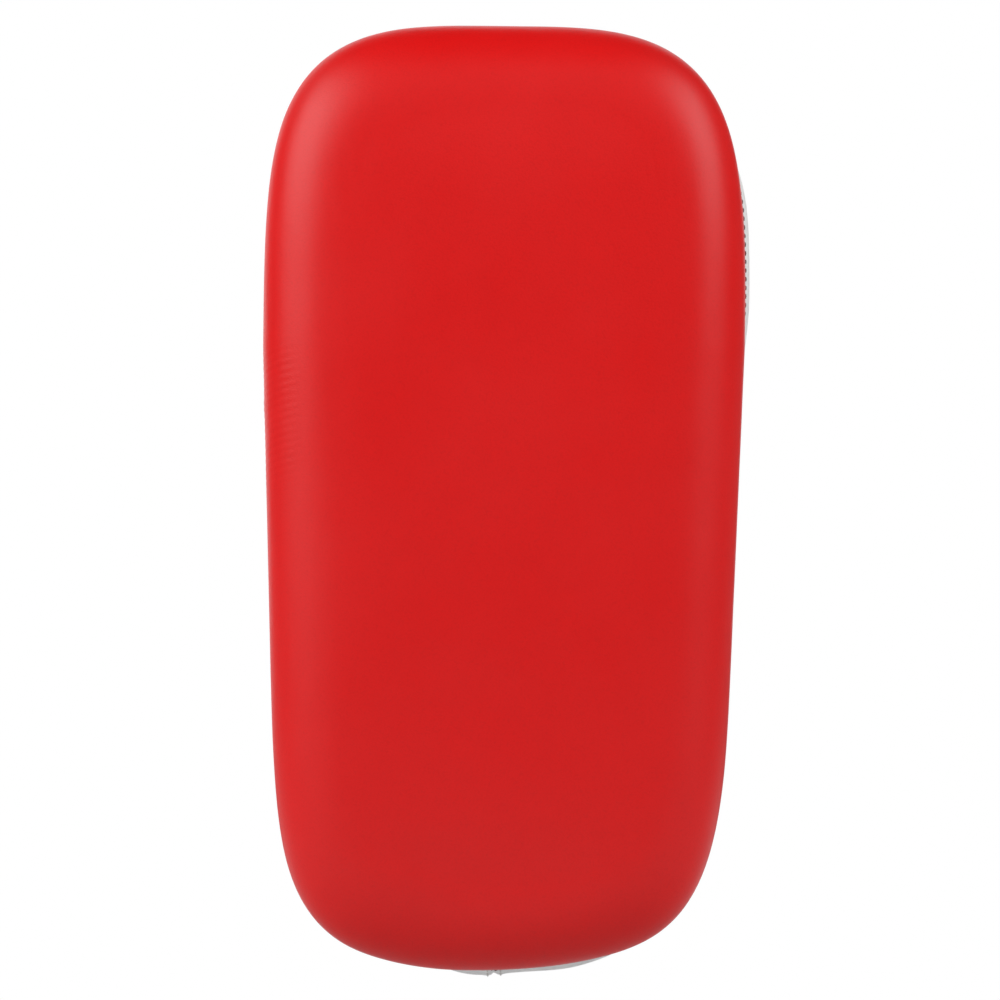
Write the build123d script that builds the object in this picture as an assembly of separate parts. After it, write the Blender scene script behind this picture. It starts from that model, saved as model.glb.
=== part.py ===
"""Thai pad: a foam-filled kick and punch pad worn on the forearm.

Frame, in millimetres: the origin is the middle of the hand grip, +X runs along the grip
across the pad, +Y points away from the striking face towards the wearer's arm, and +Z runs
up the pad from the elbow end to the hand end. Each piece of the pad is one node in parts/.
"""

import math
import os

from build123d import *

# ---------------------------------------------------------------- driving dimensions
PAD_HEIGHT = 380.0
HALF_WIDTH = 96.7  # at the widest place, in the hand half of the pad
TAPER = 0.034  # half width lost per millimetre towards the elbow end
END_DEPTH = 130.0  # length of each rounded end
TOP_POWER = 3.5  # superellipse powers: the hand end is the squarer one
BOTTOM_POWER = 3.6
GRIP_BELOW_TOP = 75.0  # the grip's axis, from the top of the pad
GRIP_CLEARANCE = 46.0  # from the back panel to the grip's axis

SKIN = 1.8  # thickness of the leather covers
SEAM_ALLOWANCE = 9.0  # width of leather turned in at each seam
FRONT_DEPTH = 34.0  # the front cover, from the striking face to its seam
FRONT_ROLL = 28.0  # radius of the roll round the striking face
SEAM_ROLL = 4.0  # radius where the front cover turns in to its seam
GUSSET_DEPTH = 28.0
GUSSET_INSET = 3.5  # how far the gusset lies inside the front cover's outline
PIPING = 3.6  # thickness of the piping between the gusset and the back cover
BACK_DEPTH = 8.0
BACK_ROLL = 5.5
GAP = 0.2  # between layers that touch in the real pad

BOARD = 2.5  # stiffener board behind the back cover
STRAP = 2.4  # thickness of the forearm straps
STRAP_WIDTH = 46.0
STRAP_HEIGHTS = {"upper": -88.0, "lower": -198.0}  # middle of each strap, along Z
TAPE = 1.4  # thickness of the hook tape and of the loop tape
TAPE_WIDTH = 38.0
BODY_GAP = 0.3  # between pieces that move against each other

# ---------------------------------------------------------------- worked-out places
TOP_Z = GRIP_BELOW_TOP
CENTRE_Z = TOP_Z - PAD_HEIGHT / 2
BACK_Y = -GRIP_CLEARANCE  # outer face of the back cover
BACK_SEAM_Y = BACK_Y - BACK_DEPTH
GUSSET_BACK_Y = BACK_SEAM_Y - PIPING - 2 * GAP
FRONT_SEAM_Y = GUSSET_BACK_Y - GUSSET_DEPTH
FRONT_Y = FRONT_SEAM_Y - FRONT_DEPTH
BOARD_FRONT_Y = BACK_Y - SKIN - GAP - BOARD


def save(shape, name):
    """Writes one node, named so that the file's name and the node's agree."""
    shape.label = name
    export_step(shape, f"parts/{name}.step")


# ---------------------------------------------------------------- pad outline
def half_width(z):
    """Half width before the ends round off; z is measured from the pad's middle."""
    straight = PAD_HEIGHT / 2 - END_DEPTH
    return HALF_WIDTH - TAPER * max(0.0, straight - z)


def outline(inset=0.0):
    """The pad's outline seen from the front, pulled in by inset, as one closed spline."""
    straight = PAD_HEIGHT / 2 - END_DEPTH
    depth = END_DEPTH - inset
    right = []
    for degrees in (82, 70, 56, 42, 28, 14):
        a = math.radians(degrees)
        z = straight + depth * math.sin(a) ** (2 / TOP_POWER)
        right.append(((half_width(z) - inset) * math.cos(a) ** (2 / TOP_POWER), z))
    for z in (straight, 20.0, -20.0, -straight):
        right.append((half_width(z) - inset, z))
    for degrees in (14, 28, 42, 56, 70, 82):
        a = math.radians(degrees)
        z = -straight - depth * math.sin(a) ** (2 / BOTTOM_POWER)
        right.append(((half_width(z) - inset) * math.cos(a) ** (2 / BOTTOM_POWER), z))
    top, bottom = (0.0, straight + depth), (0.0, -straight - depth)
    left = [(-x, z) for x, z in reversed(right)]
    return Spline(top, *right, bottom, *left, periodic=True)


def slab(inset, front, back, front_roll=0.0, back_roll=0.0):
    """A solid of the pad's outline between two depths, with rolled front and back edges."""
    plane = Plane(origin=(0, back, CENTRE_Z), x_dir=(1, 0, 0), z_dir=(0, -1, 0))
    body = extrude(plane * make_face(outline(inset)), amount=back - front)
    if front_roll:
        body = fillet(body.edges().group_by(Axis.Y)[0], front_roll)
    if back_roll:
        body = fillet(body.edges().group_by(Axis.Y)[-1], back_roll)
    return body


# ---------------------------------------------------------------- flat bands
def offset_points(points, distance):
    """The corners of a polyline moved sideways, to its left where distance is positive."""
    moved = []
    for i, (x, y) in enumerate(points):
        before = points[i - 1] if i else None
        after = points[i + 1] if i + 1 < len(points) else None
        normals = []
        for a, b in ((before, (x, y)), ((x, y), after)):
            if a and b:
                length = math.dist(a, b)
                normals.append(((a[1] - b[1]) / length, (b[0] - a[0]) / length))
        nx, ny = (sum(n[k] for n in normals) / len(normals) for k in (0, 1))
        stretch = distance / (nx * nx + ny * ny)
        moved.append((x + nx * stretch, y + ny * stretch))
    return moved


def turns(points):
    """The signed turn at each inner corner of a polyline, in radians, positive to the left."""
    found = []
    for a, b, c in zip(points, points[1:], points[2:]):
        first = math.atan2(b[1] - a[1], b[0] - a[0])
        second = math.atan2(c[1] - b[1], c[0] - b[0])
        found.append((second - first + math.pi) % (2 * math.pi) - math.pi)
    return found


def soft_radii(points, share=0.45):
    """The largest arcs that a polyline's runs allow, one for each inner corner."""
    radii = []
    for i, turn in enumerate(turns(points)):
        run = min(math.dist(points[i], points[i + 1]), math.dist(points[i + 1], points[i + 2]))
        radii.append(share * run / math.tan(abs(turn) / 2))
    return radii


def moved_radii(points, radii, distance):
    """Radii of the same bends after offset_points has moved the corners."""
    return [r - distance * math.copysign(1, t) for r, t in zip(radii, turns(points))]


def edge_line(points, radii):
    corners = [(x, y) for x, y in points]
    return FilletPolyline(*corners, radius=radii) if radii else Line(*corners)


def band(points, radii, thickness, z_low, z_high):
    """A strip of even thickness that follows a path in XY and is z_high - z_low wide."""
    sides = []
    for side in (thickness / 2, -thickness / 2):
        sides.append(edge_line(offset_points(points, side), moved_radii(points, radii, side)))
    left, right = sides
    ends = [Line(left @ 0, right @ 0), Line(left @ 1, right @ 1)]
    face = make_face([*left.edges(), *right.edges(), *ends])
    return extrude(Plane.XY.offset(z_low) * face, amount=z_high - z_low)


def cylinder(radius, length, centre, axis):
    """A round bar of this length about centre, along axis."""
    start = Vector(*centre) - Vector(*axis) * (length / 2)
    return extrude(Plane(origin=start, z_dir=axis) * Circle(radius), amount=length)


def block(x, y, z):
    """A box from three (low, high) pairs."""
    size = [high - low for low, high in (x, y, z)]
    middle = [(high + low) / 2 for low, high in (x, y, z)]
    return Pos(*middle) * Box(*size)


# ---------------------------------------------------------------- rivets
RIVET_SHANK = 1.7
RIVET_HOLE = 1.75
RIVET_HEAD = 4.5
RIVET_HEAD_HEIGHT = 1.8
WASHER = 5.5
WASHER_THICKNESS = 1.0


def drill(shape, places):
    """Rivet holes through a shape, along Y; places are (x, z) pairs."""
    for x, z in places:
        shape = shape - cylinder(RIVET_HOLE, 60.0, (x, BACK_Y, z), (0, 1, 0))
    return shape


def rivet(x, z, seat):
    """A domed tubular rivet whose head sits at height seat above the back cover."""
    under = BOARD_FRONT_Y - WASHER_THICKNESS
    top = BACK_Y + seat
    shank = cylinder(RIVET_SHANK, top - under, (x, (top + under) / 2, z), (0, 1, 0))
    head = cylinder(RIVET_HEAD, RIVET_HEAD_HEIGHT, (x, top + RIVET_HEAD_HEIGHT / 2, z), (0, 1, 0))
    head = fillet(head.edges().group_by(Axis.Y)[-1], RIVET_HEAD_HEIGHT * 0.8)
    return shank + head


def washer(x, z):
    centre = (x, BOARD_FRONT_Y - WASHER_THICKNESS / 2, z)
    disc = cylinder(WASHER, WASHER_THICKNESS, centre, (0, 1, 0))
    return disc - cylinder(RIVET_HOLE, WASHER_THICKNESS * 2, centre, (0, 1, 0))


# ---------------------------------------------------------------- covers
def front_cover():
    outer = slab(0, FRONT_Y, FRONT_SEAM_Y, FRONT_ROLL, SEAM_ROLL)
    hollow = slab(SKIN, FRONT_Y + SKIN, FRONT_SEAM_Y - SKIN, FRONT_ROLL - SKIN, SEAM_ROLL - SKIN)
    mouth = slab(SEAM_ALLOWANCE + GUSSET_INSET, FRONT_SEAM_Y - 2 * SKIN, FRONT_SEAM_Y + SKIN)
    return outer - hollow - mouth


def side_gusset():
    front, back = FRONT_SEAM_Y + GAP, GUSSET_BACK_Y
    outer = slab(GUSSET_INSET, front, back, 1.2, 1.2)
    hollow = slab(GUSSET_INSET + SKIN, front + SKIN, back - SKIN)
    mouth = slab(GUSSET_INSET + SEAM_ALLOWANCE, front - SKIN, back + SKIN)
    return outer - hollow - mouth


def back_piping():
    front = GUSSET_BACK_Y + GAP
    outer = slab(GUSSET_INSET - PIPING / 2, front, front + PIPING)
    ring = outer - slab(GUSSET_INSET + SEAM_ALLOWANCE, front - 1, front + PIPING + 1)
    rims = [e for e in ring.edges() if e.length > 2 * PAD_HEIGHT + 2 * HALF_WIDTH]
    longest = max(e.length for e in rims)
    return fillet([e for e in rims if e.length > longest - 1], PIPING * 0.45)


def back_cover(holes):
    outer = slab(GUSSET_INSET, BACK_SEAM_Y, BACK_Y, 0.8, BACK_ROLL)
    hollow = slab(GUSSET_INSET + SKIN, BACK_SEAM_Y + SKIN, BACK_Y - SKIN, 0, BACK_ROLL - SKIN)
    mouth = slab(GUSSET_INSET + SEAM_ALLOWANCE, BACK_SEAM_Y - SKIN, BACK_SEAM_Y + 2 * SKIN)
    return drill(outer - hollow - mouth, holes)


# ---------------------------------------------------------------- filling
CORE_INSET = GUSSET_INSET + SKIN + 0.6
NECK_INSET = GUSSET_INSET + SEAM_ALLOWANCE + 1.0  # where foam passes between turned-in seams
CORE_FRONT_Y = FRONT_SEAM_Y + GAP + SKIN + GAP
CORE_BACK_Y = GUSSET_BACK_Y - SKIN - GAP
BACKING_BACK_Y = BOARD_FRONT_Y - GAP


def impact_foam():
    body = slab(
        SKIN + 0.6,
        FRONT_Y + SKIN + GAP,
        FRONT_SEAM_Y - SKIN - GAP,
        FRONT_ROLL - SKIN - 0.6,
        SEAM_ROLL - SKIN - 0.6,
    )
    return body + slab(NECK_INSET, FRONT_SEAM_Y - SKIN - 1, CORE_FRONT_Y - GAP)


def core_foam():
    return slab(CORE_INSET, CORE_FRONT_Y, CORE_BACK_Y)


def backing_foam(holes):
    """The dense rear layer, with a pocket for each rivet washer."""
    body = slab(NECK_INSET, CORE_BACK_Y + GAP, BACKING_BACK_Y)
    for x, z in holes:
        depth = 2 * (WASHER_THICKNESS + GAP)
        body = body - cylinder(WASHER + GAP, depth, (x, BACKING_BACK_Y, z), (0, 1, 0))
    return body


def stiffener_board(holes):
    return drill(slab(NECK_INSET, BOARD_FRONT_Y, BOARD_FRONT_Y + BOARD), holes)


# ---------------------------------------------------------------- forearm cushion
CUSHION_HALF_WIDTH = 45.0
CUSHION_TOP = -42.0
CUSHION_BOTTOM = -272.0
# Corners of half the cushion's section and their radii, as distances from its middle line
# and heights: the trough where the forearm lies, the bolster beside it, and its shoulder.
CUSHION_SECTION = [(0.0, 6.5), (27.0, 17.5), (CUSHION_HALF_WIDTH, 15.0)]
CUSHION_ROLLS = [60.0, 15.0, 9.0]
CUSHION_CORNER = 26.0
CUSHION_SKIN = 1.6
CUSHION_HEM = 6.0  # width of the stitched border round the cushion


def cushion_plan(grow, height):
    """A slab of the cushion's outline, grown sideways, standing on the back cover."""
    low, high = CUSHION_BOTTOM - grow, CUSHION_TOP + grow
    base = Plane(origin=(0, BACK_Y + GAP, (low + high) / 2), x_dir=(-1, 0, 0), z_dir=(0, 1, 0))
    shape = RectangleRounded(2 * (CUSHION_HALF_WIDTH + grow), high - low, CUSHION_CORNER + grow)
    return extrude(base * shape, amount=height)


def cushion_hem():
    return cushion_plan(CUSHION_HEM, CUSHION_SKIN)


def cushion(inset):
    """The cushion's solid: a trough with two bolsters, its corners rounded in plan."""
    right = [*CUSHION_SECTION, (CUSHION_HALF_WIDTH, 0.0)]
    left = [(-x, y) for x, y in reversed(right[1:])]
    points = [*left, *right]
    radii = [*reversed(CUSHION_ROLLS[1:]), *CUSHION_ROLLS]
    top = edge_line(offset_points(points, -inset), moved_radii(points, radii, -inset))
    section = make_face([*top.edges(), Line(top @ 1, top @ 0)])
    plane = Plane(origin=(0, BACK_Y + GAP, CUSHION_BOTTOM + inset))
    length = CUSHION_TOP - CUSHION_BOTTOM - 2 * inset
    return extrude(plane * section, amount=length) & cushion_plan(-inset, CUSHION_HALF_WIDTH)


def cushion_cover():
    inner = cushion(CUSHION_SKIN)
    return cushion(0) + cushion_hem() - inner


def cushion_foam():
    return cushion(CUSHION_SKIN + GAP)


# ---------------------------------------------------------------- hand grip
GRIP_RADIUS = 17.0
GRIP_LENGTH = 84.0
GRIP_SKIN = 1.6
GRIP_STRAP = 3.2
GRIP_STRAP_WIDTH = 25.0
CUFF_LENGTH = 9.0
GRIP_BENDS = [6.0, 11.0, 11.0, 6.0]
GRIP_FOOT = (64.0, 83.5)  # the flat foot of the grip strap, from the grip's middle
GRIP_SHOULDER = 53.0  # where the grip strap leaves the line of the grip
PATCH = 1.6  # thickness of the leather patches over the sewn feet
PATCH_CORNER = 5.0
GRIP_SEAT = 2 * GAP + GRIP_STRAP  # height of the grip patches' underside
GRIP_PATCH_SIZE = (14.0, 34.0)
GRIP_PATCH_X = 76.5
GRIP_RIVETS = [(side * GRIP_PATCH_X, z) for side in (-1, 1) for z in (-8.0, 8.0)]


def grip_band(thickness, half):
    """The grip strap's path: flat on the back cover, up, through the grip, and down again."""
    foot = BACK_Y + GAP + GRIP_STRAP / 2
    near, far = GRIP_FOOT
    right = [(GRIP_SHOULDER, 0.0), (near, foot), (far, foot)]
    left = [(-x, y) for x, y in reversed(right)]
    return band([*left, *right], GRIP_BENDS, thickness, -half, half)


def grip_strap():
    return drill(grip_band(GRIP_STRAP, GRIP_STRAP_WIDTH / 2), GRIP_RIVETS)


def grip_padding():
    body = cylinder(GRIP_RADIUS - GRIP_SKIN - GAP, GRIP_LENGTH - 4, (0, 0, 0), (1, 0, 0))
    slot_y, slot_z = GRIP_STRAP / 2 + GAP, GRIP_STRAP_WIDTH / 2 + GAP
    return body - block((-60, 60), (-slot_y, slot_y), (-slot_z, slot_z))


def grip_cover():
    outer = cylinder(GRIP_RADIUS, GRIP_LENGTH, (0, 0, 0), (1, 0, 0))
    return outer - cylinder(GRIP_RADIUS - GRIP_SKIN, GRIP_LENGTH + 2, (0, 0, 0), (1, 0, 0))


def grip_cuff(side):
    """The leather collar that closes one end of the grip round its strap."""
    start = side * (GRIP_LENGTH / 2 + GAP)
    plane = Plane(origin=(start, 0, 0), z_dir=(side, 0, 0))
    wide = plane * Circle(GRIP_RADIUS + 0.8)
    narrow = plane.offset(CUFF_LENGTH) * Circle(GRIP_RADIUS - 2.5)
    body = loft([wide, narrow])
    return body - grip_band(GRIP_STRAP + 2 * GAP, GRIP_STRAP_WIDTH / 2 + GAP)


def foot_patch(x, z, seat, size, holes):
    """A leather patch over a sewn foot; seat is the height of its underside."""
    plane = Plane(origin=(x, BACK_Y + seat, z), x_dir=(-1, 0, 0), z_dir=(0, 1, 0))
    return drill(extrude(plane * RectangleRounded(*size, PATCH_CORNER), amount=PATCH), holes)


# ---------------------------------------------------------------- forearm straps
WIRE = 2.0  # radius of the ring's wire
KEEPER = 1.8
KEEPER_BORE = WIRE + 0.08
KEEPER_WIDTH = 40.0
KEEPER_SLOPE = (3.0, 9.0)  # where its upper leg comes down to the lower one, from the bar
KEEPER_PATCH_SIZE = (12.0, 46.0)
ROOT_PATCH_SIZE = (13.0, 52.0)
FOOT_EDGE = 81.0  # outer ends of the straps' and keepers' feet, on the flat of the back cover
ROOT_X = ROOT_PATCH_SIZE[0] / 2 - FOOT_EDGE
KEEPER_X = FOOT_EDGE - KEEPER_PATCH_SIZE[0] / 2
ROOT_SEAT = 2 * GAP + STRAP  # heights of the undersides of these patches
KEEPER_SEAT = 3 * GAP + 2 * KEEPER
STRAP_RIVETS = {"root": (ROOT_X, 15.0), "keeper": (KEEPER_X, 13.0)}  # x, and reach along Z
ROOT_BEND = (-64.0, 5.0)  # where the strap turns up from the back cover, and its radius
RING_LENGTH = 16.0  # between the middles of the ring's two long bars
RING_WIDTH = 54.0  # between the middles of its short bars
RING_CORNER = 5.0
RING_LEAN = math.radians(17.5)  # the closed strap pulls the ring this far off upright
WRAP = 4.8  # radius of the strap's middle layer where it turns round the ring
INNER_BAR = (59.0, BACK_Y + GAP + KEEPER + KEEPER_BORE)
UP = (-math.sin(RING_LEAN), math.cos(RING_LEAN))  # along the ring, away from the pad
OUT = (math.cos(RING_LEAN), math.sin(RING_LEAN))  # across the ring, away from the arm
OUTER_BAR = (INNER_BAR[0] + UP[0] * RING_LENGTH, INNER_BAR[1] + UP[1] * RING_LENGTH)


def from_bar(up, out):
    """A point given from the ring's outer bar, along and across the ring."""
    x = OUTER_BAR[0] + UP[0] * up + OUT[0] * out
    return (x, OUTER_BAR[1] + UP[1] * up + OUT[1] * out)


STRAP_FOOT = BACK_Y + GAP + STRAP / 2
# The arch over the forearm, as (x, height above the back cover), from the root to the ring.
ARCH = [(-57.0, 36.0), (-40.0, 59.0), (-7.0, 69.0), (24.5, 61.5)]
END_UP = 0.5  # the strap's sewn end, above the ring's outer bar
RING_RUN = 24.0  # how far above the ring's outer bar the strap comes in line with the ring


def strap_path():
    """Path of the strap from its sewn root to where it has turned round the ring."""
    arch = [(x, BACK_Y + height) for x, height in ARCH]
    bends = [from_bar(RING_RUN, -WRAP), from_bar(-WRAP, -WRAP), from_bar(-WRAP, WRAP)]
    foot = [(-FOOT_EDGE, STRAP_FOOT), (ROOT_BEND[0], STRAP_FOOT)]
    points = [*foot, *arch, *bends, from_bar(END_UP, WRAP)]
    radii = soft_radii(points)
    radii[0] = ROOT_BEND[1]
    radii[-2:] = [WRAP, WRAP]
    return points, radii


HINGE = from_bar(END_UP + STRAP / 2 + BODY_GAP, WRAP)  # where the tail folds
TAIL_LIFT = STRAP + 2 * TAPE + BODY_GAP  # from the strap's middle layer to the tail's
TAIL_TIP = 0.45  # where the tail ends, as a share of the run over the crown of the arch
TAIL_CORNER = 14.0


def between(a, b, share):
    return tuple(p + (q - p) * share for p, q in zip(a, b))


def stretch(first, first_share, last, last_share):
    """Part of the strap's path, from inside run number first to inside run number last."""
    points, radii = strap_path()
    start = between(points[first], points[first + 1], first_share)
    end = between(points[last], points[last + 1], last_share)
    return [start, *points[first + 1 : last + 1], end], radii[first : last]


def layer(part_of_path, lift, thickness, z_low, z_high):
    """A band that lies over part of the strap, this far outside its middle layer."""
    points, radii = part_of_path
    moved = offset_points(points, lift)
    return band(moved, moved_radii(points, radii, lift), thickness, z_low, z_high)


def strap_band(middle, holes):
    points, radii = strap_path()
    half = STRAP_WIDTH / 2
    return drill(band(points, radii, STRAP, middle - half, middle + half), holes)


def loop_tape(middle):
    half = TAPE_WIDTH / 2
    lift = (STRAP + TAPE) / 2 + 0.02
    return layer(stretch(2, 0.5, 5, 0.5), lift, TAPE, middle - half, middle + half)


def hook_tape(middle):
    half = TAPE_WIDTH / 2
    lift = TAIL_LIFT - (STRAP + TAPE) / 2 - 0.02
    return layer(stretch(3, 0.5, 5, 0.5), lift, TAPE, middle - half, middle + half)


def strap_tail(middle):
    """The free end that folds back over the strap, rounded where it bends at the ring."""
    points, radii = stretch(3, TAIL_TIP, 6, 0.5)
    moved = offset_points(points, TAIL_LIFT)
    bends = moved_radii(points, radii, TAIL_LIFT)
    moved[-1] = HINGE
    half = STRAP_WIDTH / 2
    flat = band(moved, bends, STRAP, middle - half, middle + half)
    reach = HINGE[0] - moved[0][0] + 2 * STRAP_WIDTH
    origin = (moved[0][0] + reach / 2, BACK_Y, middle)
    plan = Plane(origin=origin, x_dir=(-1, 0, 0), z_dir=(0, 1, 0))
    tip = plan * RectangleRounded(reach, STRAP_WIDTH, TAIL_CORNER)
    rounded = extrude(tip, amount=2 * GRIP_BELOW_TOP)
    fold = cylinder(STRAP / 2, STRAP_WIDTH, (*HINGE, middle), (0, 0, 1))
    return (flat & rounded) + fold


def ring(middle):
    """The rectangular wire ring, standing from its keeper towards the strap."""
    plane = Plane(
        origin=(*between(INNER_BAR, OUTER_BAR, 0.5), middle),
        x_dir=(UP[0], UP[1], 0),
        z_dir=(OUT[0], OUT[1], 0),
    )
    loop = plane * RectangleRounded(RING_LENGTH, RING_WIDTH, RING_CORNER)
    path = loop.face().outer_wire()
    start = path.edges().sort_by(Axis.Y)[0]
    section = Plane(origin=start @ 0.5, z_dir=start % 0.5) * Circle(WIRE)
    return sweep(section, path=path)


def keeper(middle, holes):
    """The leather loop that holds the ring, sewn down with both of its ends together."""
    low = BACK_Y + GAP + KEEPER / 2
    turn = KEEPER_BORE + KEEPER / 2
    left = INNER_BAR[0] - turn
    high = low + 2 * turn
    lid = low + KEEPER + GAP
    top, foot = (INNER_BAR[0] + reach for reach in KEEPER_SLOPE)
    points = [(FOOT_EDGE, low), (left, low), (left, high), (top, high), (foot, lid), (FOOT_EDGE, lid)]
    bends = [turn - 0.05, turn - 0.05, 3.0, 4.0]
    half = KEEPER_WIDTH / 2
    return drill(band(points, bends, KEEPER, middle - half, middle + half), holes)


def rivet_places(end, middle):
    """The (x, z) places of the two rivets in a strap's root or in its keeper."""
    x, spread = STRAP_RIVETS[end]
    return [(x, middle - spread), (x, middle + spread)]


def make_strap(name, middle):
    """One forearm strap with everything that belongs to it."""
    root_holes, keeper_holes = rivet_places("root", middle), rivet_places("keeper", middle)
    save(strap_band(middle, root_holes), f"{name}_strap")
    patch = foot_patch(ROOT_X, middle, ROOT_SEAT, ROOT_PATCH_SIZE, root_holes)
    save(patch, f"{name}_root_patch")
    save(loop_tape(middle), f"{name}_loop_tape")
    save(hook_tape(middle), f"{name}_hook_tape")
    save(strap_tail(middle), f"{name}_strap_tail")
    save(ring(middle), f"{name}_ring")
    save(keeper(middle, keeper_holes), f"{name}_ring_keeper")
    patch = foot_patch(KEEPER_X, middle, KEEPER_SEAT, KEEPER_PATCH_SIZE, keeper_holes)
    save(patch, f"{name}_keeper_patch")


def main():
    os.makedirs("parts", exist_ok=True)
    strap_rivets = {"root": [], "keeper": []}
    for name, middle in STRAP_HEIGHTS.items():
        make_strap(name, middle)
        for end, places in strap_rivets.items():
            places += rivet_places(end, middle)
    holes = GRIP_RIVETS + strap_rivets["root"] + strap_rivets["keeper"]

    save(front_cover(), "front_cover")
    save(side_gusset(), "side_gusset")
    save(back_piping(), "back_piping")
    save(back_cover(holes), "back_cover")
    save(impact_foam(), "impact_foam")
    save(core_foam(), "core_foam")
    save(backing_foam(holes), "backing_foam")
    save(stiffener_board(holes), "stiffener_board")
    save(cushion_cover(), "forearm_cushion_cover")
    save(cushion_foam(), "forearm_cushion_foam")

    save(grip_strap(), "grip_strap")
    save(grip_padding(), "grip_padding")
    save(grip_cover(), "grip_cover")
    for name, side in (("left", -1), ("right", 1)):
        save(grip_cuff(side), f"grip_cuff_{name}")
        here = [place for place in GRIP_RIVETS if place[0] * side > 0]
        patch = foot_patch(side * GRIP_PATCH_X, 0.0, GRIP_SEAT, GRIP_PATCH_SIZE, here)
        save(patch, f"grip_patch_{name}")

    seats = [(GRIP_RIVETS, GRIP_SEAT)]
    seats += [(strap_rivets["root"], ROOT_SEAT), (strap_rivets["keeper"], KEEPER_SEAT)]
    rivets = [rivet(x, z, seat + PATCH + GAP) for places, seat in seats for x, z in places]
    save(Compound(children=rivets), "rivets")
    save(Compound(children=[washer(x, z) for x, z in holes]), "rivet_washers")


if __name__ == "__main__":
    main()
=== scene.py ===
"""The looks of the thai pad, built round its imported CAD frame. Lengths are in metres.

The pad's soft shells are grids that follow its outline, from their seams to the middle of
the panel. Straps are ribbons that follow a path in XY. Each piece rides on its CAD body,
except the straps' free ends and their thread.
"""

import math

import bpy
import numpy as np
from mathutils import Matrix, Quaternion, Vector
from mathutils.bvhtree import BVHTree


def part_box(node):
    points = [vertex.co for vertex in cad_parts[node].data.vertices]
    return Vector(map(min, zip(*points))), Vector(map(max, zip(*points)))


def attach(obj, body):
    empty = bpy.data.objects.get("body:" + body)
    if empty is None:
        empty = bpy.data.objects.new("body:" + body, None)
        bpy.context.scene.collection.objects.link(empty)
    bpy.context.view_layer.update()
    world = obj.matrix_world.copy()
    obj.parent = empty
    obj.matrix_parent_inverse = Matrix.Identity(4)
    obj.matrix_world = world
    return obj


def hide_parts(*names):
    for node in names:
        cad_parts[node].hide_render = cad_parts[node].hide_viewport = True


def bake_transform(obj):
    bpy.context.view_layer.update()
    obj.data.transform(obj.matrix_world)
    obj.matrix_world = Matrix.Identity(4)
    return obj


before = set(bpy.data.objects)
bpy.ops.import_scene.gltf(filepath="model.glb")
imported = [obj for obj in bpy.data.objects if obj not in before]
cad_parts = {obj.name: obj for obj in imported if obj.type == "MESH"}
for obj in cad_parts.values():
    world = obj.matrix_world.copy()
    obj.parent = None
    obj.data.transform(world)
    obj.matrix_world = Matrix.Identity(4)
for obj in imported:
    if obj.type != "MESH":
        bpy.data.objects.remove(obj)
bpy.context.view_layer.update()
MM = 0.001
TURN = 2 * math.pi

# ---- sizes from the frame
FACE_LOW, FACE_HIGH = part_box("front_cover")
PIPING_LOW, PIPING_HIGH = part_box("back_piping")
BACK_LOW, BACK_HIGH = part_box("back_cover")
CUSHION_LOW, CUSHION_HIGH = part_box("forearm_cushion_cover")
GRIP_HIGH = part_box("grip_cover")[1]
FRONT_Y, FRONT_SEAM_Y = FACE_LOW.y, FACE_HIGH.y
BACK_SEAM_Y, BACK_Y = BACK_LOW.y, BACK_HIGH.y
HALF_WIDTH = FACE_HIGH.x
HALF_HEIGHT = (FACE_HIGH.z - FACE_LOW.z) / 2
MIDDLE_Z = (FACE_HIGH.z + FACE_LOW.z) / 2
GUSSET_INSET = HALF_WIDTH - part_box("side_gusset")[1].x

# The outline's formula, as in the CAD source.
TAPER = 0.034
END_DEPTH = 130 * MM
TOP_POWER, BOTTOM_POWER = 3.5, 3.6

STITCH_PITCH = 3.5 * MM
SEAM_SIDE = 2.6 * MM  # from a butt seam to the stitches beside it
CLOTH_FRAMES = 20
CLEAR = 30 * MM  # how far off a piece the rays start that place its stitches
DOWN = (0.0, -1.0, 0.0)  # from behind the pad on to its back cover


# ---- small mathematics
def smooth(low, high, value):
    """0 below low, 1 above high, and a smooth step between them."""
    t = np.clip((value - low) / (high - low), 0, 1)
    return t * t * (3 - 2 * t)


def hump(centre, reach, value):
    """A smooth bump, 1 at centre and 0 beyond reach on either side."""
    return 1 - smooth(0, 1, np.abs(value - centre) / reach)


def bell(gap, width):
    """A smooth bump, 1 where gap is 0, that fades over about width."""
    return np.exp(-((gap / width) ** 2))


def unit(v):
    return v / np.maximum(np.linalg.norm(v, axis=-1, keepdims=True), 1e-12)


def along_line(points):
    """Distance along a line, at each of its points."""
    steps = np.linalg.norm(np.diff(points, axis=0), axis=1)
    return np.concatenate([[0], np.cumsum(steps)])


def at(wanted, along, values):
    """Rows of values at wanted distances along a line."""
    return np.column_stack([np.interp(wanted, along, column) for column in np.transpose(values)])


def evenly(points, count, closed):
    """count evenly spaced points along a line, and the line's length."""
    line = np.vstack([points, points[:1]]) if closed else np.asarray(points)
    along = along_line(line)
    return at(np.linspace(0, along[-1], count, endpoint=not closed), along, line), along[-1]


def ripple(points, scale, seed):
    """Smooth seeded noise from sums of sines, about -1 to 1, at points (n, 3)."""
    random = np.random.default_rng(seed)
    total = np.zeros(len(points))
    for _ in range(7):
        direction = unit(random.normal(size=3)) * TURN / scale
        total += np.sin(points @ (direction * random.uniform(0.6, 1.7)) + random.uniform(0, 6.3))
    return total / 3.7


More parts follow.
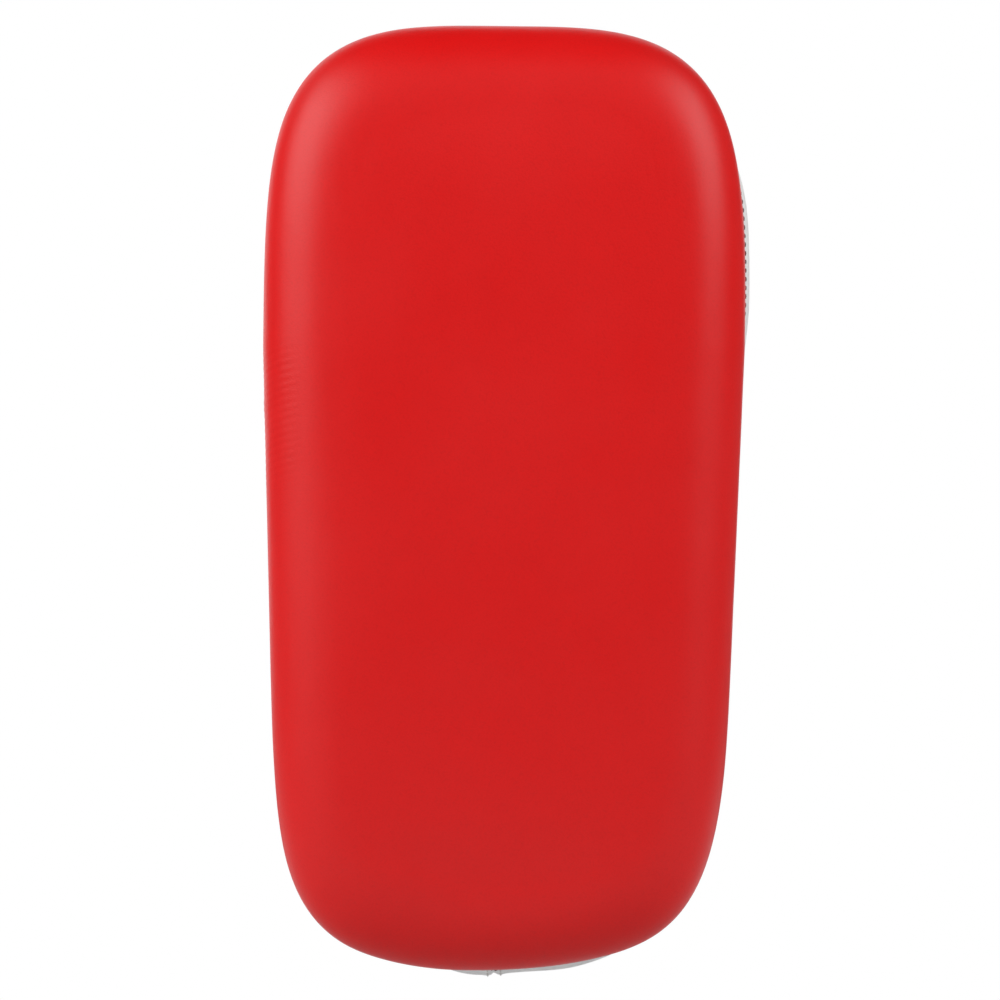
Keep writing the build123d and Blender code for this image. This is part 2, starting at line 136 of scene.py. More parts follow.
# ---- outlines in XZ
class Outline:
    """A closed outline in XZ, as evenly spaced points with directions that point inwards.

    It is given from the middle of its bottom, anticlockwise. Point 0 is the corner at low x
    and low z. A grid of columns by rows cells that ends on its points can fill its inside.
    """

    def __init__(self, points, columns, rows, inward=None):
        self.columns, self.rows = columns, rows
        self.count = 2 * (columns + rows)
        points = np.asarray(points)
        if inward is None:
            tangent = unit(np.roll(points, -1, axis=0) - np.roll(points, 1, axis=0))
            inward = np.column_stack([-tangent[:, 1], tangent[:, 0]])
        along = along_line(np.vstack([points, points[:1]]))
        self.length = along[-1]
        wanted = ((np.arange(self.count) - columns // 2) * self.length / self.count) % self.length
        both = np.hstack([points, inward])
        even = at(wanted, along, np.vstack([both, both[:1]]))
        self.points, self.inward = even[:, :2], even[:, 2:]
        self.middle = (self.points.min(0) + self.points.max(0)) / 2

    def row(self, inset, y):
        """One row of a shell: the outline pulled in by inset, at depth y."""
        flat = self.points + self.inward * np.broadcast_to(inset, self.count)[:, None]
        return np.column_stack([flat[:, 0], np.broadcast_to(y, self.count), flat[:, 1]])

    def outward(self):
        """Unit vectors in XYZ that point out of the outline."""
        out = unit(-self.inward)
        return np.column_stack([out[:, 0], np.zeros(self.count), out[:, 1]])

    def along(self, points):
        """Distance along the outline of the place nearest to each point, by its bearing."""
        own = self.points - self.middle
        bearing = np.unwrap(np.arctan2(own[:, 1], own[:, 0]))
        off = points[:, [0, 2]] - self.middle
        asked = bearing[0] + (np.arctan2(off[:, 1], off[:, 0]) - bearing[0]) % TURN
        steps = np.arange(self.count + 1) * self.length / self.count
        return np.interp(asked, np.append(bearing, bearing[0] + TURN), steps)

    def inner_grid(self, loop):
        """Points of the grid that fills a loop of this outline's points, edges included."""
        c, r = self.columns, self.rows
        bottom, right = loop[: c + 1], loop[c : c + r + 1]
        top, left = loop[c + r : 2 * c + r + 1][::-1], np.vstack([loop[2 * c + r :], loop[:1]])[::-1]
        u = np.linspace(0, 1, c + 1)[None, :, None]
        v = np.linspace(0, 1, r + 1)[:, None, None]
        between_ends = (1 - v) * bottom[None] + v * top[None]
        between_sides = (1 - u) * left[:, None] + u * right[:, None]
        low, high = (1 - u) * bottom[0] + u * bottom[-1], (1 - u) * top[0] + u * top[-1]
        return between_ends + between_sides - (1 - v) * low - v * high


def pad_line(inset):
    """The pad's outline pulled in by inset: a superellipse at each end, tapering sides."""
    straight = HALF_HEIGHT - END_DEPTH
    depth = END_DEPTH - inset
    step = np.linspace(0, 1, 400)
    angle = step * step * (3 - 2 * step) * math.pi / 2

    def half_width(z):
        return HALF_WIDTH - inset - TAPER * np.maximum(0, straight - z)

    low_z = -straight - depth * np.cos(angle) ** (2 / BOTTOM_POWER)
    low_x = half_width(low_z) * np.sin(angle) ** (2 / BOTTOM_POWER)
    high_z = straight + depth * np.sin(angle) ** (2 / TOP_POWER)
    high_x = half_width(high_z) * np.cos(angle) ** (2 / TOP_POWER)
    side_z = np.linspace(-straight, straight, 60)[1:-1]
    right_x = np.concatenate([low_x, half_width(side_z), high_x])
    right = np.column_stack([right_x, np.concatenate([low_z, side_z, high_z])])
    return np.vstack([right, right[::-1][1:-1] * [-1, 1]]) + [0, MIDDLE_Z]


def rounded_outline(low, high, radius, columns, rows):
    """A rectangle with round corners, from its low and high corners in XZ."""
    (left, bottom), (right, top) = low, high
    points = [((left + right) / 2, bottom)]
    for x, z, start in (
        (right - radius, bottom + radius, -90),
        (right - radius, top - radius, 0),
        (left + radius, top - radius, 90),
        (left + radius, bottom + radius, 180),
    ):
        for degrees in range(start, start + 91, 6):
            a = math.radians(degrees)
            points.append((x + radius * math.cos(a), z + radius * math.sin(a)))
    return Outline(points, columns, rows)


# ---- meshes
def read(items, key, width=3):
    """One number or vector for each item of a mesh, as an array."""
    values = np.zeros(len(items) * width, np.float32)
    items.foreach_get(key, values)
    return values.astype(float).reshape((-1, width) if width > 1 else -1)


def read_points(mesh):
    return read(mesh.vertices, "co")


def read_reach(mesh):
    return read(mesh.attributes["reach"].data, "value", 1)


def write_points(mesh, points):
    mesh.vertices.foreach_set("co", points.astype(np.float32).ravel())
    mesh.update()


def new_mesh(name, points, faces):
    """A smooth mesh object, with its faces turned outwards."""
    mesh = bpy.data.meshes.new(name)
    mesh.from_pydata(np.asarray(points, float).tolist(), [], faces)
    mesh.polygons.foreach_set("use_smooth", [True] * len(mesh.polygons))
    mesh.update()
    from_middle = read(mesh.polygons, "center") - read_points(mesh).mean(0)
    facing = (from_middle * read(mesh.polygons, "normal")).sum(1)
    if (facing * read(mesh.polygons, "area", 1)).sum() < 0:
        mesh.flip_normals()
    obj = bpy.data.objects.new(name, mesh)
    bpy.context.scene.collection.objects.link(obj)
    return obj


def grid_faces(index, closed=False):
    """Quads over a table of vertex numbers. Where closed, its last column meets its first."""
    if closed:
        index = np.hstack([index, index[:, :1]])
    quads = np.stack([index[:-1, :-1], index[:-1, 1:], index[1:, 1:], index[1:, :-1]], axis=-1)
    return quads.reshape(-1, 4).tolist()


def shell(name, outline, rows, filled=True):
    """A shell from rows of an outline; where filled, a grid fills the last row's inside.

    Its attribute reach is each vertex's distance from the first row, across the rows.
    """
    rows = np.asarray(rows)
    count = outline.count
    points = rows.reshape(-1, 3)
    steps = np.linalg.norm(np.diff(rows, axis=0), axis=2)
    reach = np.vstack([np.zeros((1, count)), np.cumsum(steps, axis=0)])
    faces = grid_faces(np.arange(len(points)).reshape(len(rows), count), closed=True)
    reaches = reach.ravel()
    if filled:
        c, r = outline.columns, outline.rows
        grid = outline.inner_grid(rows[-1])
        last = (len(rows) - 1) * count + np.arange(count)
        index = np.zeros((r + 1, c + 1), int)
        index[0], index[:, -1] = last[: c + 1], last[c : c + r + 1]
        index[-1] = last[c + r : 2 * c + r + 1][::-1]
        index[:, 0] = np.append(last[2 * c + r :], last[0])[::-1]
        index[1:-1, 1:-1] = len(points) + np.arange((r - 1) * (c - 1)).reshape(r - 1, c - 1)
        points = np.vstack([points, grid[1:-1, 1:-1].reshape(-1, 3)])
        faces += grid_faces(index)
        reaches = np.append(reaches, np.full((r - 1) * (c - 1), reach[-1].max()))
    obj = new_mesh(name, points, faces)
    layer = obj.data.attributes.new("reach", "FLOAT", "POINT")
    layer.data.foreach_set("value", reaches.astype(np.float32))
    return obj


def evaluated(obj):
    """The object's mesh with its modifiers applied."""
    graph = bpy.context.evaluated_depsgraph_get()
    return bpy.data.meshes.new_from_object(
        obj.evaluated_get(graph), preserve_all_data_layers=True, depsgraph=graph
    )


def subdivide(obj, levels):
    modifier = obj.modifiers.new("Subdivision", "SUBSURF")
    modifier.levels = modifier.render_levels = levels
    mesh = evaluated(obj)
    obj.modifiers.clear()
    obj.data = mesh


def eased(mesh, moved, held, passes):
    """A movement of each vertex, averaged with its neighbours' again and again; held ones stay."""
    edges = np.zeros(len(mesh.edges) * 2, np.int32)
    mesh.edges.foreach_get("vertices", edges)
    a, b = edges.reshape(-1, 2).T
    shared = np.bincount(edges, minlength=len(moved))[:, None]
    for _ in range(passes):
        total = np.zeros_like(moved)
        np.add.at(total, a, moved[b])
        np.add.at(total, b, moved[a])
        moved = (moved + total / shared) / 2
        moved[held] = 0
    return moved


def swell(obj, sewn, pressure, cap, passes=0):
    """Lets a piece swell as stuffed leather. Points that are sewn stay, others move up to cap."""
    scene = bpy.context.scene
    before = read_points(obj.data)
    group = obj.vertex_groups.new(name="sewn")
    group.add(np.nonzero(sewn)[0].tolist(), 1.0, "REPLACE")
    cloth = obj.modifiers.new("Cloth", "CLOTH")
    settings = cloth.settings
    settings.quality = 5
    settings.mass = 0.4
    settings.tension_stiffness = settings.compression_stiffness = settings.shear_stiffness = 40
    settings.bending_stiffness = 8
    settings.vertex_group_mass = group.name
    settings.use_pressure = True
    settings.uniform_pressure_force = pressure
    settings.effector_weights.gravity = 0
    for number in range(1, CLOTH_FRAMES + 1):
        scene.frame_set(number)
    moved = read_points(evaluated(obj)) - before
    obj.modifiers.remove(cloth)
    obj.vertex_groups.remove(group)
    scene.frame_set(1)
    length = np.linalg.norm(moved, axis=1, keepdims=True)
    capped = moved * (cap * np.tanh(length / cap) / np.maximum(length, 1e-9))
    write_points(obj.data, before + eased(obj.data, capped, sewn, passes))


def press(obj, amount):
    """Moves each point along its normal by amount, one number for each vertex."""
    mesh = obj.data
    write_points(mesh, read_points(mesh) + read(mesh.vertices, "normal") * np.asarray(amount)[:, None])


# ---- stitches
# One stitch: (distance along it, share of the thread's radius, lift) at each ring of points.
GRAIN = np.array([(-0.5, 0.3, -0.6), (-0.34, 0.85, 0), (0, 1, 0.25), (0.34, 0.85, 0), (0.5, 0.3, -0.6)])
GRAIN_SIDES = 6


def stitches(name, runs, length=2.7 * MM, radius=0.38 * MM):
    """Thread: one grain for each stitch. Each run is (places, directions, normals)."""
    angle = np.arange(GRAIN_SIDES) * TURN / GRAIN_SIDES
    index = np.arange(len(GRAIN) * GRAIN_SIDES).reshape(len(GRAIN), GRAIN_SIDES)
    faces = np.asarray(grid_faces(index, closed=True))
    points, all_faces = [], []
    for places, directions, normals in runs:
        side = unit(np.cross(directions, normals))
        for spot, along, across, up in zip(places, directions, side, normals):
            ring = np.outer(np.cos(angle), across) + np.outer(np.sin(angle), up)
            all_faces += (faces + GRAIN_SIDES * len(points)).tolist()
            for station, share, lift in GRAIN:
                middle = spot + along * station * length + up * lift * radius
                points.append(middle + ring * radius * share)
    return new_mesh(name, np.vstack(points), all_faces)


def stitch_places(line, normals, pitch=STITCH_PITCH, closed=False):
    """(places, directions, normals) of stitches along a line of points."""
    line, normals = np.asarray(line), np.asarray(normals)
    if closed:
        line, normals = np.vstack([line, line[:1]]), np.vstack([normals, normals[:1]])
    along = along_line(line)
    number = max(2, round(along[-1] / pitch))
    wanted = (np.arange(number) + 0.5) * along[-1] / number
    ahead = at(wanted + 0.3 * MM, along, line) - at(wanted - 0.3 * MM, along, line)
    return at(wanted, along, line), unit(ahead), unit(at(wanted, along, normals))


# ---- ribbons
def bend(before, corner, after):
    """Unit vectors from a corner along its two runs, and half the angle between them."""
    back, ahead = unit(np.subtract(before, corner)), unit(np.subtract(after, corner))
    return back, ahead, math.acos(np.clip(back @ ahead, -1, 1)) / 2


def rounded_path(corners, radii):
    """Close points along straight runs joined by arcs, one radius for each inner corner."""
    corners = [np.asarray(c, float) for c in corners]
    line = [corners[0]]
    for before, corner, after, radius in zip(corners, corners[1:], corners[2:], radii):
        back, ahead, half = bend(before, corner, after)
        centre = corner + unit(back + ahead) * radius / math.sin(half)
        first = corner + back * radius / math.tan(half) - centre
        last = corner + ahead * radius / math.tan(half) - centre
        sweep = math.pi - 2 * half
        for share in np.linspace(0, 1, 14):
            arm = first * math.sin((1 - share) * sweep) + last * math.sin(share * sweep)
            line.append(centre + arm / math.sin(sweep))
    return np.array([*line, corners[-1]])


def soft_radii(corners, share=0.45):
    """The largest arcs that the runs between corners allow."""
    runs = np.linalg.norm(np.diff(corners, axis=0), axis=1)
    halves = [bend(*three)[2] for three in zip(corners, corners[1:], corners[2:])]
    return [share * min(a, b) * math.tan(half) for a, b, half in zip(runs, runs[1:], halves)]


def soft_path(corners):
    return rounded_path(corners, soft_radii(corners))


def lifted(line, lift):
    """A path in XY moved to its left, and its left normals."""
    tangent = unit(np.gradient(line, axis=0))
    normal = np.column_stack([-tangent[:, 1], tangent[:, 0]])
    return line + normal * lift, normal


def strap_section(width, thickness, groove=0.22 * MM, margin=4 * MM):
    """The closed section of a doubled strap: (across, lift) points, anticlockwise.

    Its edges are rounded, and it is drawn in along the two rows of stitches.
    """
    half = width / 2
    edge, outer, inner = half - 1.2 * MM, half - margin - 1.6 * MM, half - margin - 4 * MM
    flat = np.concatenate([
        np.linspace(-edge, -outer, 7), np.linspace(-inner, inner, 8), np.linspace(outer, edge, 7)
    ])
    dip = hump(half - margin, 1.7 * MM, np.abs(flat)) * groove
    fullness = 0.12 * MM * (1 - (flat / half) ** 2)
    top = np.column_stack([flat, thickness / 2 - dip + fullness])
    round_x, round_y = half - 0.35 * MM, thickness * 0.36
    side = np.array([(round_x, round_y), (half, 0.0), (round_x, -round_y)])
    return np.vstack([side[::-1] * [-1, 1], top, side, top[::-1] * [1, -1]])[::-1]


def ribbon(name, path, middle_z, section, tip=0.0, open_start=False, open_end=False, step=1.5 * MM):
    """A strap that follows a path in XY. tip is the radius of the corners at its last end."""
    count = max(8, int(along_line(path)[-1] / step))
    line, length = evenly(path, count, closed=False)
    _, normal = lifted(line, 0)
    half = section[:, 0].max()
    keep = np.ones(count)
    if tip:
        corner = np.clip(tip - length + np.linspace(0, length, count), 0, tip)
        keep = (half - tip + np.sqrt(np.maximum(tip**2 - corner**2, 0))) / half
    grid = np.zeros((count, len(section), 3))
    grid[:, :, :2] = line[:, None] + normal[:, None] * section[None, :, 1:]
    grid[:, :, 2] = middle_z + section[None, :, 0] * keep[:, None]
    index = np.arange(count * len(section)).reshape(grid.shape[:2])
    faces = grid_faces(index, closed=True)
    for is_open, ring, flip in ((open_start, index[0], True), (open_end, index[-1], False)):
        if not is_open:
            half_count = len(ring) // 2
            first, second = ring[:half_count], ring[half_count:][::-1]
            for a, b, c, d in zip(first, first[1:], second[1:], second):
                faces.append([a, d, c, b] if flip else [a, b, c, d])
    return new_mesh(name, grid.reshape(-1, 3), faces)


# ---- finishes
class Finish:
    """A material under construction: a Principled shader and the nodes that feed it."""

    def __init__(self, name):
        self.material = bpy.data.materials.new(name)
        self.material.use_nodes = True
        self.nodes, self.links = self.material.node_tree.nodes, self.material.node_tree.links
        self.shader = self.nodes["Principled BSDF"]
        self.place = self.nodes.new("ShaderNodeTexCoord").outputs["Object"]

    def feed(self, node, values):
        """Sets or links a node's sockets, given by name or number."""
        for key, value in values.items():
            if isinstance(value, (int, float, tuple)):
                node.inputs[key].default_value = value
            else:
                self.links.new(value, node.inputs[key])

    def set(self, **values):
        """Sets or links the shader's sockets, named with _ for each space."""
        self.feed(self.shader, {name.replace("_", " "): value for name, value in values.items()})
        return self

    def node(self, kind, values, **settings):
        node = self.nodes.new("ShaderNode" + kind)
        for name, value in settings.items():
            setattr(node, name, value)
        self.feed(node, values)
        return node.outputs

    def noise(self, scale, detail=4.0, rough=0.55, place=None, output="Fac"):
        values = {"Scale": scale, "Detail": detail, "Roughness": rough}
        return self.node("TexNoise", {**values, "Vector": place or self.place})[output]

    def cells(self, scale, feature="SMOOTH_F1", place=None):
        values = {"Scale": scale, "Vector": place or self.place}
        return self.node("TexVoronoi", values, feature=feature)["Distance"]

    def stretched(self, *scales):
        return self.node("VectorMath", {0: self.place, 1: scales}, operation="MULTIPLY")[0]

    def math(self, operation, a, b):
        return self.node("Math", {0: a, 1: b}, operation=operation)[0]

    def span(self, value, low, high, from_low=0.3, from_high=0.7):
        """value, which is mostly between from_low and from_high, mapped to low and high."""
        ends = {"From Min": from_low, "From Max": from_high, "To Min": low, "To Max": high}
        return self.node("MapRange", {"Value": value, **ends})[0]

    def mix(self, share, a, b):
        """A colour between a and b."""
        return self.node("Mix", {0: share, 6: a, 7: b}, data_type="RGBA")[2]

    def bump(self, *layers):
        """Bumps from (height, depth in metres) pairs, coarse ones first. Returns the material."""
        below = {}
        for height, depth in layers:
            normal = self.node("Bump", {"Distance": depth, "Height": height, **below})["Normal"]
            below = {"Normal": normal}
        self.feed(self.shader, below)
        return self.material


def rgb(*levels):
    """A shader colour from an sRGB one, 0 to 255."""
    linear = [c / 255 / 12.92 if c <= 10 else ((c / 255 + 0.055) / 1.055) ** 2.4 for c in levels]
    return (*linear, 1.0)


def leather(name, colour, deep, worn, grain, depth, rough, uneven=1.0, folded=0.55):
    """Grained synthetic leather. grain is the number of pebbles in a metre."""
    f = Finish(name)
    f.set(Specular_IOR_Level=0.4)
    drift = f.noise(grain * 0.45, 2.0, rough=0.5, output="Color")
    values = {0: drift, 1: (0.55 / grain,) * 3, 2: f.place}
    bent = f.node("VectorMath", values, operation="MULTIPLY_ADD")[0]
    pebbles = f.cells(grain, place=bent)
    folds = f.cells(grain * 0.32, "DISTANCE_TO_EDGE", place=bent)
    pores = f.noise(grain * 3.2, 3.0, 0.6)
    patches = f.noise(14.0, 5.0, 0.6)
    clouds = f.noise(90.0, 4.0, 0.55)
    tone = f.mix(f.span(patches, 0.0, 0.5 * uneven), colour, worn)
    tone = f.mix(f.span(clouds, 0.0, 0.3 * uneven), tone, deep)
    f.set(Base_Color=f.mix(f.span(pebbles, 0.0, 0.4, 0.35, 0.8), tone, deep))
    broad = f.span(patches, rough - 0.05, rough + 0.04)
    f.set(Roughness=f.math("ADD", broad, f.span(pores, -0.05, 0.06)))
    pebbles_up = f.math("SUBTRACT", 1.0, pebbles)
    lines = f.span(folds, 0.0, 1.0, 0.0, 0.12)
    coarse = ((clouds, depth * 3 * uneven), (lines, depth * folded))
    return f.bump(*coarse, (pebbles_up, depth), (pores, depth * 0.35))


def thread(name, colour, deep):
    """Twisted sewing thread."""
    f = Finish(name).set(Sheen_Weight=0.25, Specular_IOR_Level=0.35)
    values = {"Scale": 1150.0, "Distortion": 1.5, "Vector": f.place}
    twist = f.node("TexWave", values, bands_direction="DIAGONAL")["Fac"]
    fibre = f.noise(5200.0, 2.0)
    tone = f.mix(f.span(twist, 0.0, 0.7, 0.0, 1.0), colour, deep)
    f.set(Base_Color=tone, Roughness=f.span(fibre, 0.55, 0.8))
    return f.bump((twist, 0.00012), (fibre, 0.00004))


def tape(name, colour, deep, knobs, depth, rough):
    """Hook or loop tape: rows of small plastic knobs or a mat of fine fibre."""
    f = Finish(name).set(Sheen_Weight=0.5, Sheen_Roughness=0.6, Specular_IOR_Level=0.3)
    rows = f.cells(knobs)
    fuzz = f.noise(knobs * 2.4, 5.0, 0.75)
    tone = f.mix(f.span(rows, 0.0, 1.0, 0.1, 0.7), colour, deep)
    f.set(Base_Color=tone, Roughness=f.span(fuzz, rough - 0.1, rough + 0.1))
    return f.bump((f.math("SUBTRACT", 1.0, rows), depth), (fuzz, depth * 0.6))


def metal(name, colour, deep, rough):
    """Plated steel with fine scratches and a little dullness from handling."""
    f = Finish(name).set(Metallic=1.0)
    dull = f.noise(240.0, 6.0, 0.7)
    scratches = f.noise(900.0, 3.0, 0.6, place=f.stretched(1.0, 0.08, 0.3))
    worn = f.math("ADD", f.span(dull, rough, rough + 0.14), f.span(scratches, -0.03, 0.06))
    f.set(Base_Color=f.mix(f.span(dull, 0.0, 0.6), colour, deep), Roughness=worn)
    return f.bump((dull, 0.00003), (scratches, 0.000012))


def fibreboard(name, colour, deep):
    f = Finish(name).set(Specular_IOR_Level=0.2)
    fibres = f.noise(700.0, 6.0, 0.7, place=f.stretched(1.0, 1.0, 0.12))
    specks = f.cells(420.0)
    tone = f.mix(f.span(fibres, 0.0, 1.0), colour, deep)
    f.set(Base_Color=tone, Roughness=f.span(specks, 0.75, 0.92))
    return f.bump((fibres, 0.0002), (specks, 0.0001))


FACE_RED = leather(
    "face leather", rgb(224, 3, 2), deep=rgb(206, 1, 1), worn=rgb(227, 5, 4),
    grain=1500.0, depth=0.00003, rough=0.41, uneven=0.35, folded=0.25,
)
STRAP_RED = leather(
    "strap leather", rgb(196, 12, 12), deep=rgb(150, 5, 7), worn=rgb(208, 22, 19),
    grain=900.0, depth=0.00010, rough=0.44,
)
WHITE = leather(
    "white leather", rgb(241, 240, 240), deep=rgb(219, 217, 219), worn=rgb(244, 243, 240),
    grain=1000.0, depth=0.00007, rough=0.46,
)
TRIM_WHITE = leather(
    "piping leather", rgb(236, 235, 236), deep=rgb(212, 210, 213), worn=rgb(240, 239, 238),
    grain=1400.0, depth=0.00005, rough=0.4,
)
# The seam thread's dark colour is partly the thread's own and partly painted shade, for the seam's
# shadow and its needle holes.
DARK_THREAD_PAINTED_SHADE = thread("seam thread with painted shade", rgb(92, 40, 42), rgb(48, 18, 20))
WHITE_THREAD = thread("white thread", rgb(238, 236, 232), rgb(190, 187, 182))
BLACK_THREAD = thread("black thread", rgb(44, 44, 46), rgb(18, 18, 19))
HOOK_BLACK = tape("hook tape", rgb(36, 36, 38), rgb(12, 12, 13), 900.0, 0.0004, 0.5)
LOOP_BLACK = tape("loop tape", rgb(40, 40, 42), rgb(16, 16, 17), 1500.0, 0.00025, 0.85)
CHROME = metal("plated steel", rgb(214, 214, 216), rgb(186, 187, 190), 0.16)
DULL_STEEL = metal("washer steel", rgb(168, 168, 166), rgb(128, 128, 126), 0.34)
BOARD = fibreboard("fibreboard", rgb(142, 106, 70), rgb(98, 70, 44))


def dress(obj, finish):
    """Gives a piece its finish."""
    obj.data.materials.clear()
    obj.data.materials.append(finish)


def place(obj, finish, slot, body="pad", nodes=(), fill=None):
    """Dresses a finished piece, ties it to its CAD body and hides the CAD nodes it stands for."""
    dress(obj, finish)
    if body:
        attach(obj, body)
    if nodes:
        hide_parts(*nodes)
    return obj


# ---- the pad's covers
PULLED = 30 * MM  # the rim's inward directions lead to the same outline pulled in by this
INWARD = (pad_line(PULLED) - pad_line(0)) / PULLED
RIM = Outline(pad_line(0), columns=48, rows=96, inward=INWARD)


def blob(x, z, reach_x, reach_z):
    """A soft spot on the rim at a place in XZ, given in millimetres from the pad's middle."""
    off = (RIM.points - [0, MIDDLE_Z]) / MM - [x, z]
    return np.exp(-((off[:, 0] / reach_x) ** 2) - (off[:, 1] / reach_z) ** 2)


# The stuffing fills three of the pad's corners more than the CAD outline, and one less.
PULLED_IN = 3.5 * blob(46, -190, 34, 30) - 2.0 * blob(-76, 160, 40, 40)
PULLED_IN -= 1.2 * blob(74, 160, 34, 34) + 1.8 * blob(-76, -155, 26, 34)
PULLED_IN += 0.9 * blob(-45, -190, 20, 20)
RIM.points = RIM.points + RIM.inward * PULLED_IN[:, None] * MM
RIM_PITCH = RIM.length / round(RIM.length / STITCH_PITCH)
RIM_X, RIM_Z = RIM.points[:, 0], RIM.points[:, 1] - MIDDLE_Z
ON_RIGHT, ON_LEFT = smooth(0.5, 0.9, RIM_X / HALF_WIDTH), smooth(0.5, 0.9, -RIM_X / HALF_WIDTH)
ON_BOTTOM = smooth(-0.6, -0.93, RIM_Z / HALF_HEIGHT)

# Where the gusset swells past the front cover: up the right edge, at the bottom, and
# a little on the left.
RIGHT_SWELL = ON_RIGHT * smooth(38 * MM, 82 * MM, RIM_Z) * (1 - smooth(118 * MM, 158 * MM, RIM_Z))
BOTTOM_SWELL = ON_BOTTOM * smooth(-34 * MM, -8 * MM, RIM_X) * (1 - smooth(28 * MM, 62 * MM, RIM_X))
LEFT_SWELL = ON_LEFT * hump(36 * MM, 9 * MM, RIM_Z)
SEAM_SHOWS = np.clip(RIGHT_SWELL + BOTTOM_SWELL + 0.5 * LEFT_SWELL, 0, 1)

BUTT_X = -1.6 * MM  # where the gusset's two ends are sewn together, at the bottom
BUTT_SEAM = RIM.along(np.array([[BUTT_X, 0.0, FACE_LOW.z]]))[0]
TOPSTITCH_REACH = 15.5 * MM  # the back cover's edge stitching, from its seam
TOPSTITCH_INSET = 12.8 * MM
FACE_REACH = 22 * MM  # where the roll turns into the face, from the front seam
CREASES = (  # near the face's upper corners: x, z, x, z, depth, width, in millimetres
    (-66, 148, -58, 104, 0.06, 1.6),
    (-58, 140, -52, 112, 0.05, 1.2),
    (-71, 128, -66, 98, 0.05, 1.4),
    (57, 146, 62, 120, 0.06, 1.4),
    (66, 138, 68, 116, 0.05, 1.1),
)


def gathers(along, pitch):
    """2 at each stitch along a seam, and 0 halfway between two."""
    return 1 + np.cos(TURN * along / pitch)


def puckers(obj, reach, depth, width, seed):
    """Small gathers where stitches pull the leather in, at reach from the shell's first row."""
    points = read_points(obj.data)
    near = bell(read_reach(obj.data) - reach, width)
    uneven = 1 + 0.45 * ripple(points, 26 * MM, seed)
    drift = 0.5 * ripple(points, 13 * MM, seed + 1)
    return -near * depth * (0.55 * gathers(RIM.along(points), RIM_PITCH) * uneven + drift)


def creases(points):
    """Soft creases along the lines of CREASES."""
    flat = points[:, [0, 2]] - [0, MIDDLE_Z]
    total = np.zeros(len(points))
    for x0, z0, x1, z1, depth, width in CREASES:
        start, run = np.array([x0, z0]) * MM, np.array([x1 - x0, z1 - z0]) * MM
        share = np.clip(((flat - start) @ run) / (run @ run), 0, 1)
        gap = np.linalg.norm(flat - start - share[:, None] * run, axis=1)
        fade = np.sin(math.pi * np.clip(share, 0.08, 0.92))
        total -= depth * MM * bell(gap, width * MM) * fade
    return total


def face_depth(points):
    """Depth of the striking face, which bows back a little towards both ends."""
    share = (points[:, 2] - MIDDLE_Z) / HALF_HEIGHT
    return FRONT_Y - 1.2 * MM + 5.5 * MM * share**2


def front_rows():
    """The front cover's rows, from inside its seam round the roll to the edge of the face."""
    tuck = (2.4 - 2.9 * SEAM_SHOWS) * MM
    fold = LEFT_SWELL * 0.5 * MM
    start = FRONT_SEAM_Y - 6.5 * MM
    rows = [
        RIM.row(GUSSET_INSET + 1.5 * MM, FRONT_SEAM_Y + 0.3 * MM),
        RIM.row(tuck + 0.6 * MM, FRONT_SEAM_Y - 0.1 * MM),
        RIM.row(tuck * 0.62, FRONT_SEAM_Y - 0.9 * MM),
        RIM.row(tuck * 0.28 - fold, FRONT_SEAM_Y - 2.4 * MM),
        RIM.row(tuck * 0.08 - fold, FRONT_SEAM_Y - 4.6 * MM),
        RIM.row(0.0, start),
    ]
    wide = (30 + 3 * np.tanh(-RIM_X / (30 * MM))) * MM
    for angle in np.linspace(0, math.pi / 2, 12)[1:-1]:
        row = RIM.row(wide * (1 - math.cos(angle) ** 0.93), 0.0)
        row[:, 1] = start - (start - face_depth(row)) * math.sin(angle) ** 0.96
        rows.append(row)
    row = RIM.row(wide * 1.02, 0.0)
    row[:, 1] = face_depth(row) - 0.1 * MM
    return [*rows, row]


def make_front_cover():
    obj = shell("front_cover_leather", RIM, front_rows())
    points, reach = read_points(obj.data), read_reach(obj.data)
    x = points[:, 0] / (HALF_WIDTH * 0.72)
    z = (points[:, 2] - MIDDLE_Z) / (HALF_HEIGHT * 0.87)
    crown = np.clip(1 - x**2, 0, 1) * np.clip(1 - z**2, 0, 1)
    points[:, 1] -= 1.5 * MM * smooth(FACE_REACH, 46 * MM, reach) * crown**0.8
    write_points(obj.data, points)
    swell(obj, reach < 11 * MM, pressure=3.0, cap=1.6 * MM, passes=40)
    subdivide(obj, 2)
    points, reach = read_points(obj.data), read_reach(obj.data)
    height = points[:, 2] - MIDDLE_Z
    amount = puckers(obj, 3.6 * MM, 0.32 * MM, 2.6 * MM, 5)
    amount += smooth(FACE_REACH, 60 * MM, reach) * 0.05 * MM * ripple(points, 60 * MM, 9)
    amount += 0.015 * MM * ripple(points, 19 * MM, 10)
    amount += creases(points)
    drawn = smooth(0.8, 0.93, -points[:, 0] / HALF_WIDTH)  # the short drawn part on the left
    drawn *= smooth(0, 14 * MM, height) * (1 - smooth(52 * MM, 66 * MM, height))
    wave = np.sin((points[:, 2] + 0.3 * points[:, 1]) * TURN / (3.1 * MM))
    press(obj, amount + drawn * 0.06 * MM * wave)
    place(obj, FACE_RED, "face_leather", nodes=("front_cover", "impact_foam"), fill=0.9)


def gusset_inset(share):
    """The gusset's inset at a share of the way from its front seam to its back seam."""
    belly = math.sin(math.pi * share) ** 0.75
    early = math.sin(math.pi * min(1, share * 1.35 + 0.04)) ** 0.7 if share < 0.72 else 0.0
    show = 4.0 * RIGHT_SWELL + 4.6 * BOTTOM_SWELL + 2.6 * LEFT_SWELL
    return GUSSET_INSET - MM * (1.7 * belly + show * (0.72 * belly + 0.28 * early))


